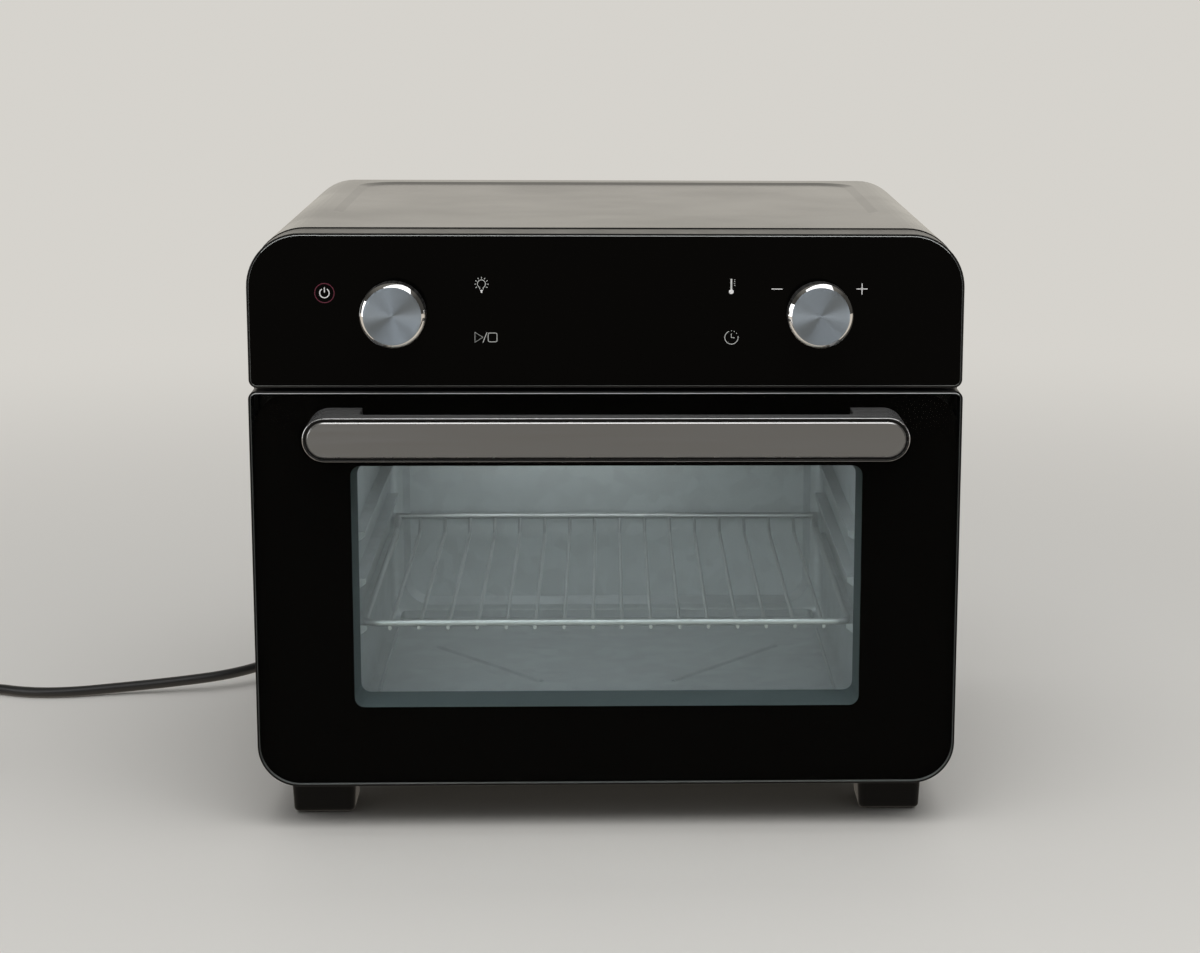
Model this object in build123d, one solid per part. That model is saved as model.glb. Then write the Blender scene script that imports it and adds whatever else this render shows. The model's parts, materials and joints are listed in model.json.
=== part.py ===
from build123d import *
import math
import os

# A table-top hot-air oven with a drop-down glass door.
# Millimetres. +X is to the right of someone facing the oven, +Y to its back, +Z up.
# The origin is on the table, under the middle of the oven without its lead.

# Overall sizes
body_width = 430.0
body_height = 343.0
foot_height = 28.0
cabinet_depth = 345.0
handle_reach = 36.0
spacer_length = 18.0

# Door and control panel, which close the whole front
front_depth = 26.5
front_gap = 1.5
door_height = 247.4
door_gap = 2.0
panel_drop = 0.6
top_radius = 33.0
bottom_radius = 26.0
split_radius = 5.0

# Sheet metal
sheet = 1.0
nest = 0.1
frame_inset = 1.0
wrap_flange = 38.0
pan_lip = 12.0
pressing_width = 350.0
pressing_depth = 229.0
pressing_front = 72.0
pressing_radius = 28.0
pressing_slope = 6.0
pressing_height = 1.6
vent_count = 9
vent_pitch = 9.0
vent_length = 30.0
vent_width = 4.0
side_vent_height = 300.0
side_vent_rear = 30.0
base_vent_pitch = 13.5
base_vent_y = 71.0
louvre_rows = 3
louvre_pitch = 11.0
louvre_length = 62.0
louvre_width = 3.6
louvre_reach = 2.6
louvre_x = 96.0
louvre_height = 284.0
rear_bulge_width = 300.0
rear_bulge_height = 150.0
rear_bulge_bottom = 100.0
rear_bulge_radius = 24.0
rear_bulge_depth = 3.0
rear_bulge_slope = 5.0

# Oven cavity
cavity_width = 316.0
cavity_floor = 54.0
cavity_height = 214.0
cavity_depth = 284.0
cavity_radius = 8.0
cavity_back_radius = 6.0
mouth_flange = 9.0
dish_margin = 9.5
dish_bottom = 8.5
dish_top = 14.0
dish_radius = 20.0
dish_slope = 4.5
dish_depth = 8.0
ledge_count = 3
ledge_first = 65.5
ledge_pitch = 30.0
ledge_reach = 7.5
ledge_nose = 3.0
ledge_foot = 9.0
ledge_front_gap = 12.0
ledge_back_gap = 16.0
dome_radius = 88.0
dome_height = 30.0
seal_margin = 2.5
seal_width = 5.0
seal_gap = 0.3

# Door
glass_thickness = 4.0
inner_glass_thickness = 3.0
rim = 1.0
rim_setback = 0.2
rim_edge = 0.5
glass_edge = 0.4
glass_gap = 0.1
door_wall = 2.0
door_edge_wall = 3.0
window_width = 310.4
window_bottom = 50.9
window_height = 150.1
window_radius = 6.0
window_margin = 1.4
window_draft_side = 2.0
window_draft_bottom = 5.0
window_draft_top = 4.4
pane_lap = 8.0
pane_seat = 3.0
pane_gap = 0.15

# Handle
handle_length = 358.5
handle_height = 26.2
handle_depth = 12.0
handle_centre = 224.3
handle_end = 32.5
handle_rim = 1.15
handle_edge = 0.5
handle_corner = 4.5
handle_groove = 1.2
face_thickness = 2.0
face_edge = 0.8
face_setback = 0.2
handle_screw_x = 160.0
handle_screw_radius = 2.5
screw_slack = 0.2
boss_radius = 7.0
boss_shoulder = 6.0
screw_head_radius = 4.6
screw_head_height = 3.0
handle_screw_bite = 14.0

# Door hinges
hinge_x = 150.0
hinge_setback = 4.0
hinge_rise = 4.0
door_heel_radius = 3.0
pin_radius = 2.0
pin_length = 8.8
running_gap = 0.05
ear_thickness = 3.0
ear_radius = 3.4
ear_height = 3.9
bracket_width = 22.0
bracket_thickness = 1.5
bracket_height = 16.5
cheek_gap = 0.4
cheek_thickness = 2.0
cheek_radius = 3.9
leaf_width = 18.0
leaf_thickness = 1.6
leaf_rise = 12.0
leaf_height = 22.0
notch_half_width = 4.6
notch_height = 13.0

# Control panel
bezel_floor = 2.0
bezel_wall = 2.4
panel_glass_thickness = 2.5
panel_rim = 1.0
skirt_inset = 3.0
knob_x = 127.0
knob_height = 45.4
knob_radius = 19.5
knob_length = 15.0
knob_gap = 1.2
knob_chamfer = 2.2
cap_wall = 1.6
cap_dish = 0.4
core_gap = 0.1
core_wall = 1.6
core_ribs = 6
hub_radius = 5.6
shaft_radius = 3.0
shaft_front_gap = 3.5
shaft_depth = 9.0
bush_radius = 4.5
bush_hole_gap = 0.3
encoder_size = 12.5
board_setback = 13.0
board_thickness = 1.6
board_width = 350.0
board_height = 58.0
display_width = 112.0
display_height = 32.0
display_slack = 0.5
touch_radius = 4.0
touch_hole_gap = 0.6
# X from the middle and height above the panel's lower edge of each touch key
touch_keys = (
    (-167.9, 57.3), (-74.8, 61.9), (-71.8, 30.6), (74.6, 62.0), (74.5, 30.7), (101.6, 60.0), (152.6, 60.0),
)
post_radius = 3.0
post_x = 90.0
post_inset = 6.0
frame_window_margin = 14.0
skirt_corner = 1.0

# Wire rack and crumb tray
rack_width = 307.4
rack_front_gap = 5.8
rack_depth = 276.4
rack_wire = 4.4
rack_corner = 9.0
cross_wire = 2.4
cross_count = 16
cross_pitch = 18.1
weld_sink = 0.9
fence_rise = 8.0
fence_run = 12.0
rest_gap = 0.3
tray_sheet = 0.8
tray_front_gap = 4.0
tray_back_gap = 8.0
tray_rim = 6.0
tray_radius = 6.0
crease_width = 5.0
crease_height = 1.2
crease_start = (118.0, 190.0)
crease_end = (44.0, 102.0)

# Hot-air fan
fan_radius = 74.0
fan_blades = 12
fan_blade_length = 40.0
fan_blade_height = 17.0
fan_blade_twist = 28.0
fan_blade_thickness = 1.0
fan_hub_radius = 9.0
fan_top_gap = 6.0
fan_shaft_radius = 4.0
shaft_hole_radius = 6.0
cooling_radius = 42.0
cooling_blades = 9
cooling_height = 11.0
shield_rise = 37.0
shield_width = 300.0
shield_depth = 250.0
shield_foot = 12.0
fan_gap = 4.0
motor_width = 62.0
motor_depth = 52.0
motor_height = 24.0
winding_reach = 16.0
winding_width = 28.0
winding_inset = 2.0
bearing_radius = 11.0
bearing_height = 5.0
bracket_leg = 4.0
bracket_arm_width = 16.0
bracket_spread = 48.0
shaft_tail = 5.0

# Heaters, guard, lamp and sensors
heater_radius = 3.25
top_heater_radius = 100.0
top_heater_sweep = 320.0
top_heater_drop = 10.0
heater_bend = 12.0
heater_end_rise = 12.0
heater_hole_gap = 0.4
guard_radius = 118.0
guard_depth = 19.0
guard_sheet = 0.8
guard_flange = 8.0
guard_slots = 24
guard_slot_width = 4.0
guard_slot_inner = 26.0
guard_slot_outer = 104.0
bottom_heater_width = 250.0
bottom_heater_depth = 190.0
bottom_heater_corner = 30.0
bottom_heater_lead = 175.0
lamp_y = 96.0
lamp_height = 166.0
lamp_radius = 17.0
lamp_cover_radius = 20.0
lamp_cover_reach = 6.5
lamp_cover_thickness = 2.5
lamp_cover_fillet = 4.5
lamp_holder_depth = 32.0
lamp_holder_wall = 2.0
lamp_holder_floor = 8.0
lamp_collar = 4.0
lamp_collar_thickness = 1.5
bulb_base_radius = 4.5
bulb_base_length = 10.0
bulb_radius = 6.5
bulb_length = 12.0
probe_y = 70.0
probe_height = 200.0
probe_radius = 2.0
probe_reach = 26.0
probe_tail = 8.0
probe_flange = 7.0
probe_flange_thickness = 1.5
cutout_x = -116.0
cutout_y = -60.0
cutout_radius = 8.0
cutout_height = 7.0
blade_thickness = 0.8
blade_width = 6.0
blade_height = 8.0

# Power board and mains terminals
power_board_x = 120.0
power_board_y = 105.0
power_board_width = 110.0
power_board_depth = 90.0
power_standoff = 8.0
pillar_radius = 3.0
pillar_x = (-43.0, 7.0)
pillar_y = (-37.0, 37.0)
# X and Y on the board, width, depth and height of relays and transformer
board_parts = (
    (-36.0, -24.0, 20.0, 16.0, 16.0), (-36.0, 12.0, 20.0, 16.0, 16.0), (18.0, -4.0, 32.0, 32.0, 26.0),
)
capacitor_place = (-8.0, 28.0)
capacitor_radius = 8.0
capacitor_height = 20.0
# X of each chip on the control board, and its width
chips = ((-60.0, 14.0), (10.0, 10.0), (60.0, 18.0))
chip_height = 12.0
chip_thickness = 2.0
terminal_side_gap = 48.0
terminal_width = 34.0
terminal_depth = 20.0
terminal_height = 16.0
terminal_gap = 24.0
terminal_pitch = 10.0
terminal_bore = 2.2
terminal_bore_depth = 6.0

# Feet, spacers and screws
foot_width = 41.0
foot_depth = 38.0
foot_taper = 1.5
foot_radius = 5.0
foot_side_gap = 16.0
foot_front_gap = 30.0
foot_rear_gap = 26.0
pad_width = 30.0
pad_depth = 27.0
pad_thickness = 2.5
pad_reach = 1.0
foot_screw_radius = 2.0
foot_screw_seat = 14.0
foot_screw_length = 24.0
spacer_side_gap = 50.0
spacer_low = 60.0
spacer_high = 300.0
spacer_base_radius = 10.0
spacer_tip_radius = 7.5
spacer_seat = 6.0
spacer_screw_radius = 2.0
wrap_screw_radius = 1.7
wrap_screw_inset = 6.0
wrap_screw_length = 9.0
wrap_screw_low = 70.0
wrap_screw_high = 290.0

# Mains lead
cord_diameter = 7.3
cord_lift = 0.1
cord_exit_x = -150.0
cord_exit_height = 58.0
entry_dish_radius = 16.0
entry_dish_depth = 6.0
relief_length = 24.0
relief_flange_radius = 11.0
relief_flange_thickness = 2.0
relief_neck_radius = 6.0
relief_collar = 2.0
relief_base_radius = 7.5
relief_tip_radius = 5.2
relief_grooves = 4
relief_groove_width = 2.0
relief_groove_depth = 1.2
corner_share = 0.45
coil_x = -505.0
coil_y = 95.0
coil_radius = 46.0
coil_step = 4.7
coil_gap = 0.5
coil_half_turns = 5
plug_x_gap = 62.0
plug_y_gap = 66.0
plug_radius = 18.6
plug_length = 44.0
plug_neck_end = 16.0
plug_grip_start = 20.0
plug_grip_end = 30.0
plug_face_start = 33.5
earth_start = 35.0
earth_socket_radius = 2.4
earth_socket_depth = 10.0
plug_grip_radius = 13.5
plug_neck_radius = 6.2
plug_tail_radius = 4.8
plug_pin_radius = 2.4
plug_pin_length = 19.0
plug_pin_spacing = 19.0
earth_width = 6.0
earth_depth = 3.2

# Places worked out from the sizes
overall_depth = handle_reach + cabinet_depth + spacer_length
front_y = handle_reach - overall_depth / 2
front_back = front_y + front_depth
wrap_front = front_back + front_gap
frame_front = wrap_front + frame_inset
frame_back = frame_front + sheet
rear_y = front_y + cabinet_depth
spacer_x = body_width / 2 - spacer_side_gap
cavity_back = frame_back + cavity_depth
body_bottom = foot_height
foot_x = body_width / 2 - foot_side_gap - foot_width / 2
terminal_x = terminal_side_gap + terminal_width / 2 - body_width / 2
body_top = body_bottom + body_height
door_bottom = body_bottom
door_top = door_bottom + door_height
panel_bottom = door_top + door_gap
panel_top = body_top - panel_drop
cavity_low = cavity_floor
cavity_top = cavity_floor + cavity_height
half_cavity = cavity_width / 2
glass_back = front_y + glass_thickness
handle_z = body_bottom + handle_centre
hinge_y = front_back - hinge_setback
hinge_z = door_bottom + hinge_rise
window_low = door_bottom + window_bottom
window_high = window_low + window_height
fan_y = frame_back + cavity_depth / 2
dome_top = cavity_top + dome_height
shield_top = cavity_top + shield_rise
pan_top = body_bottom + 2 * sheet
knob_z = panel_bottom + knob_height
panel_glass_back = front_y + panel_glass_thickness
bezel_floor_back = panel_glass_back + bezel_floor
board_y = front_y + board_setback
shelf_z = cavity_floor + ledge_first
rack_z = shelf_z + rest_gap + rack_wire / 2
rack_front = frame_back + rack_front_gap
cord_radius = cord_diameter / 2
cord_axis = cord_radius + cord_lift
layer_rise = cord_diameter + coil_gap
entry_y = rear_y - entry_dish_depth
relief_tip_y = entry_y + relief_length

parts = {}


def face_plane(y):
    """Upright plane at depth y, seen from the front"""
    return Plane(origin=(0, y, 0), x_dir=(1, 0, 0), z_dir=(0, -1, 0))


def rounded_face(width, low, high, low_radius, high_radius):
    """Front view outline with its own radius at the lower and at the upper corners"""
    face = Rectangle(width, high - low)
    face = fillet(face.vertices().group_by(Axis.Y)[0], low_radius)
    face = fillet(face.vertices().group_by(Axis.Y)[-1], high_radius)
    return Pos(0, (low + high) / 2) * face


def plate(width, low, high, low_radius, high_radius, front, back):
    """Upright plate between two depths"""
    face = face_plane(back) * rounded_face(width, low, high, low_radius, high_radius)
    return extrude(face, back - front)


def block(x_low, x_high, y_low, y_high, z_low, z_high):
    """Straight box between its lowest and highest corner"""
    centre = Pos((x_low + x_high) / 2, (y_low + y_high) / 2, (z_low + z_high) / 2)
    return centre * Box(x_high - x_low, y_high - y_low, z_high - z_low)


def rod(radius, start, end):
    """Round bar from one point to another"""
    run = Vector(*end) - Vector(*start)
    return extrude(Plane(origin=start, z_dir=run) * Circle(radius), run.length)


def front_edges(solid):
    """Outer edges of the face that looks at someone in front"""
    return solid.faces().sort_by(Axis.Y)[0].outer_wire().edges()


def pill(length, height, front, back):
    """Upright bar with round ends at the handle's height"""
    face = face_plane(back) * (Pos(0, handle_z) * SlotOverall(length, height))
    return extrude(face, back - front)


def pressed_pad(width, depth, radius, slope, height):
    """Rounded pad with sloping sides, as pressed into sheet"""
    foot = RectangleRounded(width, depth, radius)
    crown = RectangleRounded(width - 2 * slope, depth - 2 * slope, radius - slope)
    return loft([foot, Pos(0, 0, height) * crown])


def corner_radii(points):
    """Largest radius at each corner of a route that its two runs allow"""
    radii = []
    for before, corner, after in zip(points, points[1:], points[2:]):
        run_in = Vector(*corner) - Vector(*before)
        run_out = Vector(*after) - Vector(*corner)
        turn = math.radians(run_in.get_angle(run_out))
        shorter = min(run_in.length, run_out.length)
        radii.append(corner_share * shorter / math.tan(turn / 2))
    return radii


def swept_tube(path, radius):
    """Round tube along a path that starts square to its first face"""
    return sweep(Plane(origin=path @ 0, z_dir=path % 0) * Circle(radius), path=path)


def make_wrap():
    """Top and both sides in one folded sheet, turned in under the base"""
    wrap = plate(body_width, body_bottom, body_top, bottom_radius, top_radius, wrap_front, rear_y)
    wrap -= plate(
        body_width - 2 * sheet, body_bottom + sheet, body_top - sheet,
        bottom_radius - sheet, top_radius - sheet, wrap_front, rear_y,
    )
    opening = body_width / 2 - bottom_radius - wrap_flange
    wrap -= block(-opening, opening, wrap_front, rear_y, body_bottom - sheet, body_bottom + 2 * sheet)
    pad = pressed_pad(pressing_width, pressing_depth, pressing_radius, pressing_slope, pressing_height)
    pad_y = wrap_front + pressing_front + pressing_depth / 2
    wrap += Pos(0, pad_y, body_top) * pad
    wrap -= Pos(0, pad_y, body_top - sheet) * pad
    vents = Sketch()
    for k in range(vent_count):
        vent_y = rear_y - side_vent_rear - k * vent_pitch
        vent = SlotOverall(vent_length, vent_width, rotation=90)
        vents += Pos(vent_y, body_bottom + side_vent_height) * vent
    wrap -= extrude(Plane.YZ.offset(-body_width / 2) * vents, body_width)
    for x, y in foot_places():
        wrap -= rod(foot_screw_radius + screw_slack, (x, y, body_bottom), (x, y, body_bottom + sheet))
    for side, z in wrap_screw_places():
        wrap -= wrap_screw_hole(side, z)
    return wrap


def foot_places():
    """X and Y of the middle of each foot"""
    front = front_y + foot_front_gap + foot_depth / 2
    rear = rear_y - foot_rear_gap - foot_depth / 2
    return [(x, y) for x in (-foot_x, foot_x) for y in (front, rear)]


def wrap_screw_places():
    """Side and height of each screw that joins wrap and rear panel"""
    return [(side, body_bottom + z) for side in (-1, 1) for z in (wrap_screw_low, wrap_screw_high)]


def wrap_screw_hole(side, z):
    y = rear_y - wrap_screw_inset
    inside = body_width / 2 - wrap_screw_length
    return rod(wrap_screw_radius, (side * inside, y, z), (side * body_width / 2, y, z))


def spacer_places():
    return [(x, body_bottom + z) for x in (-spacer_x, spacer_x) for z in (spacer_low, spacer_high)]


def make_base_pan():
    """Floor sheet on the wrap's flanges, with a lip at the front and at the back"""
    half = body_width / 2 - bottom_radius
    low = body_bottom + sheet
    back = rear_y - sheet
    pan = block(-half, half, frame_back, back, low, low + sheet)
    pan += block(-half, half, frame_back, frame_back + sheet, low, low + pan_lip)
    pan += block(-half, half, back - sheet, back, low, low + pan_lip)
    slots = Sketch()
    for k in range(-vent_count, vent_count + 1):
        for y in (fan_y - base_vent_y, fan_y + base_vent_y):
            slots += Pos(k * base_vent_pitch, y) * SlotOverall(vent_length, vent_width, rotation=90)
    pan -= extrude(Pos(0, 0, low) * slots, sheet)
    for x, y in foot_places():
        pan -= rod(foot_screw_radius + screw_slack, (x, y, low), (x, y, low + sheet))
    return pan


def make_rear_panel():
    """Flanged pan inside the wrap's rear edge, with a bulge, louvres and a dish for the lead"""
    width = body_width - 2 * (sheet + nest)
    low = body_bottom + sheet + nest
    high = body_top - sheet - nest
    low_radius = bottom_radius - sheet - nest
    high_radius = top_radius - sheet - nest
    depth = pan_lip
    panel = plate(width, low, high, low_radius, high_radius, rear_y - depth, rear_y)
    panel -= plate(
        width - 2 * sheet, low + sheet, high - sheet, low_radius - sheet, high_radius - sheet,
        rear_y - depth, rear_y - sheet,
    )
    # room for the floor sheet, which runs through to the panel
    pan_half = body_width / 2 - bottom_radius + nest
    panel -= block(-pan_half, pan_half, rear_y - depth, rear_y - sheet, body_bottom, pan_top + nest)
    bulge = pressed_pad(
        rear_bulge_width, rear_bulge_height, rear_bulge_radius, rear_bulge_slope, rear_bulge_depth
    )
    bulge_z = body_bottom + rear_bulge_bottom + rear_bulge_height / 2
    outward = Plane(origin=(0, rear_y, bulge_z), x_dir=(-1, 0, 0), z_dir=(0, 1, 0))
    panel += outward * bulge
    panel -= outward.offset(-sheet) * bulge
    for x, row_z in louvre_places():
        panel -= block(
            x - louvre_length / 2, x + louvre_length / 2, rear_y - sheet, rear_y,
            row_z - louvre_width / 2, row_z + louvre_width / 2,
        )
        panel += louvre_hood(x, row_z)
    dish = Plane(origin=(cord_exit_x, rear_y, cord_exit_height), z_dir=(0, -1, 0))
    panel += extrude(dish * Circle(entry_dish_radius), entry_dish_depth + sheet)
    panel -= extrude(dish * Circle(entry_dish_radius - sheet), entry_dish_depth)
    panel -= extrude(dish * Circle(relief_neck_radius), entry_dish_depth + sheet)
    for x, z in spacer_places():
        panel -= rod(spacer_screw_radius + screw_slack, (x, rear_y - sheet, z), (x, rear_y, z))
    for side, z in wrap_screw_places():
        panel -= wrap_screw_hole(side, z)
    return panel


def louvre_places():
    """X and height of each louvre in the rear panel"""
    rows = [body_bottom + louvre_height - k * louvre_pitch for k in range(louvre_rows)]
    return [(x, z) for x in (-louvre_x, 0, louvre_x) for z in rows]


def louvre_hood(x, z):
    """Small sloping roof over one slot"""
    low = z - louvre_width / 2
    high = z + louvre_width / 2
    side = Polyline(
        (rear_y, high + sheet), (rear_y + louvre_reach, low + sheet), (rear_y + louvre_reach, low),
        (rear_y, high), close=True,
    )
    return extrude(Plane.YZ.offset(x - louvre_length / 2) * make_face(side), louvre_length)


def ledge(side, level, grow):
    """Shelf rib on a side wall: flat on top, sloping below; grow moves its faces out"""
    top = cavity_floor + ledge_first + level * ledge_pitch
    nose = half_cavity - ledge_reach
    profile = Polyline(
        (side * (half_cavity + sheet), top - grow),
        (side * (nose + grow), top - grow),
        (side * (nose + grow), top - ledge_nose),
        (side * (half_cavity + sheet), top - ledge_foot),
        close=True,
    )
    front = frame_back + ledge_front_gap + grow
    back = cavity_back - ledge_back_gap - grow
    return extrude(face_plane(back) * make_face(profile), back - front)


def dish(grow):
    """Large pressing of the back wall, pushed backwards"""
    low = cavity_floor + dish_bottom - grow
    high = cavity_top - dish_top + grow
    width = cavity_width - 2 * dish_margin + 2 * grow
    pad = pressed_pad(width, high - low, dish_radius + grow, dish_slope, dish_depth)
    rearward = Plane(origin=(0, cavity_back + grow, (low + high) / 2), x_dir=(-1, 0, 0), z_dir=(0, 1, 0))
    return rearward * pad


def make_liner():
    """Five-walled oven cavity with its flange, ledges, back pressing and fan dome"""
    shell = plate(
        cavity_width + 2 * sheet, cavity_low - sheet, cavity_top + sheet,
        cavity_radius + sheet, cavity_radius + sheet, frame_back, cavity_back + sheet,
    )
    shell = fillet(shell.faces().sort_by(Axis.Y)[-1].outer_wire().edges(), cavity_back_radius + sheet)
    room = plate(
        cavity_width, cavity_low, cavity_top, cavity_radius, cavity_radius, frame_back, cavity_back
    )
    room = fillet(room.faces().sort_by(Axis.Y)[-1].outer_wire().edges(), cavity_back_radius)
    flange = plate(
        cavity_width + 2 * mouth_flange, cavity_low - mouth_flange, cavity_top + mouth_flange,
        cavity_radius + mouth_flange, cavity_radius + mouth_flange, frame_back, frame_back + sheet,
    )
    fan_axis = (0, fan_y)
    dome = rod(dome_radius + sheet, (*fan_axis, cavity_top), (*fan_axis, dome_top + sheet))
    liner = shell + flange + dome + dish(sheet)
    liner -= room
    liner -= dish(0)
    liner -= rod(dome_radius, (*fan_axis, cavity_top), (*fan_axis, dome_top))
    liner -= rod(shaft_hole_radius, (*fan_axis, dome_top), (*fan_axis, dome_top + sheet))
    for side in (-1, 1):
        for level in range(ledge_count):
            liner += ledge(side, level, 0)
            liner -= ledge(side, level, sheet)
    for x, y in top_heater_ends():
        hole = heater_radius + heater_hole_gap
        liner -= rod(hole, (x, y, cavity_top), (x, y, cavity_top + sheet))
    lamp_z = cavity_floor + lamp_height
    liner -= rod(lamp_radius, (half_cavity, lamp_y, lamp_z), (half_cavity + sheet, lamp_y, lamp_z))
    probe_z = cavity_floor + probe_height
    liner -= rod(probe_radius, (-half_cavity - sheet, probe_y, probe_z), (-half_cavity, probe_y, probe_z))
    return liner


def make_front_frame():
    """Chassis sheet round the cavity's mouth and behind the control panel"""
    inset = sheet + nest
    frame = plate(
        body_width - 2 * inset, body_bottom + inset, body_top - inset,
        bottom_radius - inset, top_radius - inset, frame_front, frame_back,
    )
    frame -= plate(
        cavity_width, cavity_low, cavity_top, cavity_radius, cavity_radius, frame_front, frame_back
    )
    window_half = body_width / 2 - top_radius
    window_low_edge = panel_bottom + frame_window_margin
    window_high_edge = panel_top - frame_window_margin
    frame -= block(-window_half, window_half, frame_front, frame_back, window_low_edge, window_high_edge)
    return frame


def make_seal():
    """Flat lip seal round the mouth, between frame and closed door"""
    front = front_back + seal_gap
    inner = seal_margin
    outer = seal_margin + seal_width
    seal = plate(
        cavity_width + 2 * outer, cavity_low - outer, cavity_top + outer,
        cavity_radius + outer, cavity_radius + outer, front, frame_front,
    )
    seal -= plate(
        cavity_width + 2 * inner, cavity_low - inner, cavity_top + inner,
        cavity_radius + inner, cavity_radius + inner, front, frame_front,
    )
    return seal


def make_heat_shield():
    """Bridge over the cavity that keeps the top compartment cool"""
    half = shield_width / 2
    low = cavity_top + sheet
    front = fan_y - shield_depth / 2
    back = fan_y + shield_depth / 2
    shield = block(-half, half, front, back, shield_top - sheet, shield_top)
    for side in (-1, 1):
        wall = sorted((side * half, side * (half - sheet)))
        shield += block(*wall, front, back, low, shield_top)
        foot = sorted((side * half, side * (half - shield_foot)))
        shield += block(*foot, front, back, low, low + sheet)
    shield -= rod(shaft_hole_radius, (0, fan_y, shield_top - sheet), (0, fan_y, shield_top))
    for x, y in top_heater_ends():
        hole = heater_radius + 4 * heater_hole_gap
        shield -= rod(hole, (x, y, low), (x, y, shield_top))
    return shield


def window_prism(grow):
    """Tapering window opening of the door frame, wider at the front"""
    front_w = window_width + 2 * (window_margin + grow)
    front_low = window_low - window_margin - grow
    front_high = window_high + window_margin + grow
    rear_w = front_w - 2 * window_draft_side
    rear_low = front_low + window_draft_bottom
    rear_high = front_high - window_draft_top
    radius = window_radius + grow
    front = face_plane(glass_back) * rounded_face(front_w, front_low, front_high, radius, radius)
    rear = face_plane(front_back) * rounded_face(rear_w, rear_low, rear_high, radius, radius)
    return loft([front, rear])


def make_door_frame():
    """Moulded tray that carries both panes, the hinge leaves and the handle screws"""
    frame = plate(
        body_width, door_bottom, door_top, bottom_radius, split_radius, front_y + rim_setback, front_back
    )
    heel = frame.faces().sort_by(Axis.Y)[-1].outer_wire().edges()
    frame = chamfer(heel, door_heel_radius)
    frame = fillet(front_edges(frame), rim_edge)
    frame -= plate(
        body_width - 2 * rim, door_bottom + rim, door_top - rim,
        bottom_radius - rim, split_radius - rim, front_y, glass_back,
    )
    wall = door_edge_wall
    frame -= plate(
        body_width - 2 * wall, door_bottom + wall, door_top - wall,
        bottom_radius - wall, split_radius - wall, glass_back, front_back - door_wall,
    )
    frame += window_prism(door_wall) & plate(
        body_width, door_bottom, door_top, bottom_radius, split_radius, glass_back, front_back
    )
    pane_w, pane_low, pane_high = inner_pane_size()
    collar = door_wall + pane_gap
    frame += plate(
        pane_w + 2 * collar, pane_low - collar, pane_high + collar,
        window_radius + collar, window_radius + collar,
        front_back - inner_glass_thickness - pane_seat, front_back,
    )
    frame -= plate(
        pane_w + 2 * pane_gap, pane_low - pane_gap, pane_high + pane_gap,
        window_radius, window_radius, front_back - inner_glass_thickness, front_back,
    )
    frame -= window_prism(0)
    for x in (-handle_screw_x, handle_screw_x):
        frame += rod(boss_radius, (x, glass_back, handle_z), (x, front_back - door_wall, handle_z))
        frame -= rod(handle_screw_radius + screw_slack, (x, glass_back, handle_z), (x, front_back, handle_z))
        seat = glass_back + boss_shoulder
        frame -= rod(screw_head_radius + screw_slack, (x, seat, handle_z), (x, front_back, handle_z))
    for x in (-hinge_x, hinge_x):
        frame -= block(
            x - notch_half_width, x + notch_half_width, hinge_y - cheek_radius - 1, front_back,
            door_bottom, door_bottom + notch_height,
        )
    return frame


def inner_pane_size():
    """Width, lower edge and upper edge of the inner glass"""
    width = window_width + 2 * (window_margin - window_draft_side + pane_lap)
    low = window_low - window_margin + window_draft_bottom - pane_lap
    high = window_high + window_margin - window_draft_top + pane_lap
    return width, low, high


def make_inner_glass():
    width, low, high = inner_pane_size()
    front = front_back - inner_glass_thickness
    return plate(width, low, high, window_radius, window_radius, front, front_back)


def make_outer_glass():
    inset = rim + glass_gap
    glass = plate(
        body_width - 2 * inset, door_bottom + inset, door_top - inset,
        bottom_radius - inset, split_radius - inset, front_y, glass_back,
    )
    glass = chamfer(front_edges(glass), glass_edge)
    for x in (-handle_screw_x, handle_screw_x):
        glass -= rod(handle_screw_radius + screw_slack, (x, front_y, handle_z), (x, glass_back, handle_z))
    return glass


def make_handle_bar():
    """Pill-shaped bar whose two ends run back to the door glass as posts"""
    face_y = front_y - handle_reach
    bar = pill(handle_length, handle_height, face_y + face_setback, front_y)
    bar = fillet(front_edges(bar), handle_edge)
    reach = handle_length / 2 - handle_end
    grip = block(
        -reach, reach, face_y + handle_depth, front_y,
        handle_z - handle_height / 2, handle_z + handle_height / 2,
    )
    bar -= fillet(grip.edges().filter_by(Axis.Z).group_by(Axis.Y)[0], handle_corner)
    pocket = 2 * handle_rim
    bar -= pill(handle_length - pocket, handle_height - pocket, face_y, face_y + face_thickness)
    for x in (-handle_screw_x, handle_screw_x):
        bar -= rod(handle_screw_radius, (x, front_y - handle_screw_bite, handle_z), (x, front_y, handle_z))
    return bar


def make_handle_face():
    """Satin inlay, set in the bar with a groove all round it"""
    face_y = front_y - handle_reach
    inset = 2 * (handle_rim + handle_groove)
    face = pill(handle_length - inset, handle_height - inset, face_y, face_y + face_thickness)
    return chamfer(front_edges(face), face_edge)


def make_handle_screws():
    screws = Part()
    seat = glass_back + boss_shoulder
    tip = front_y - handle_screw_bite
    for x in (-handle_screw_x, handle_screw_x):
        screws += rod(handle_screw_radius, (x, tip, handle_z), (x, seat, handle_z))
        screws += rod(screw_head_radius, (x, seat, handle_z), (x, seat + screw_head_height, handle_z))
    return screws


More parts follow.
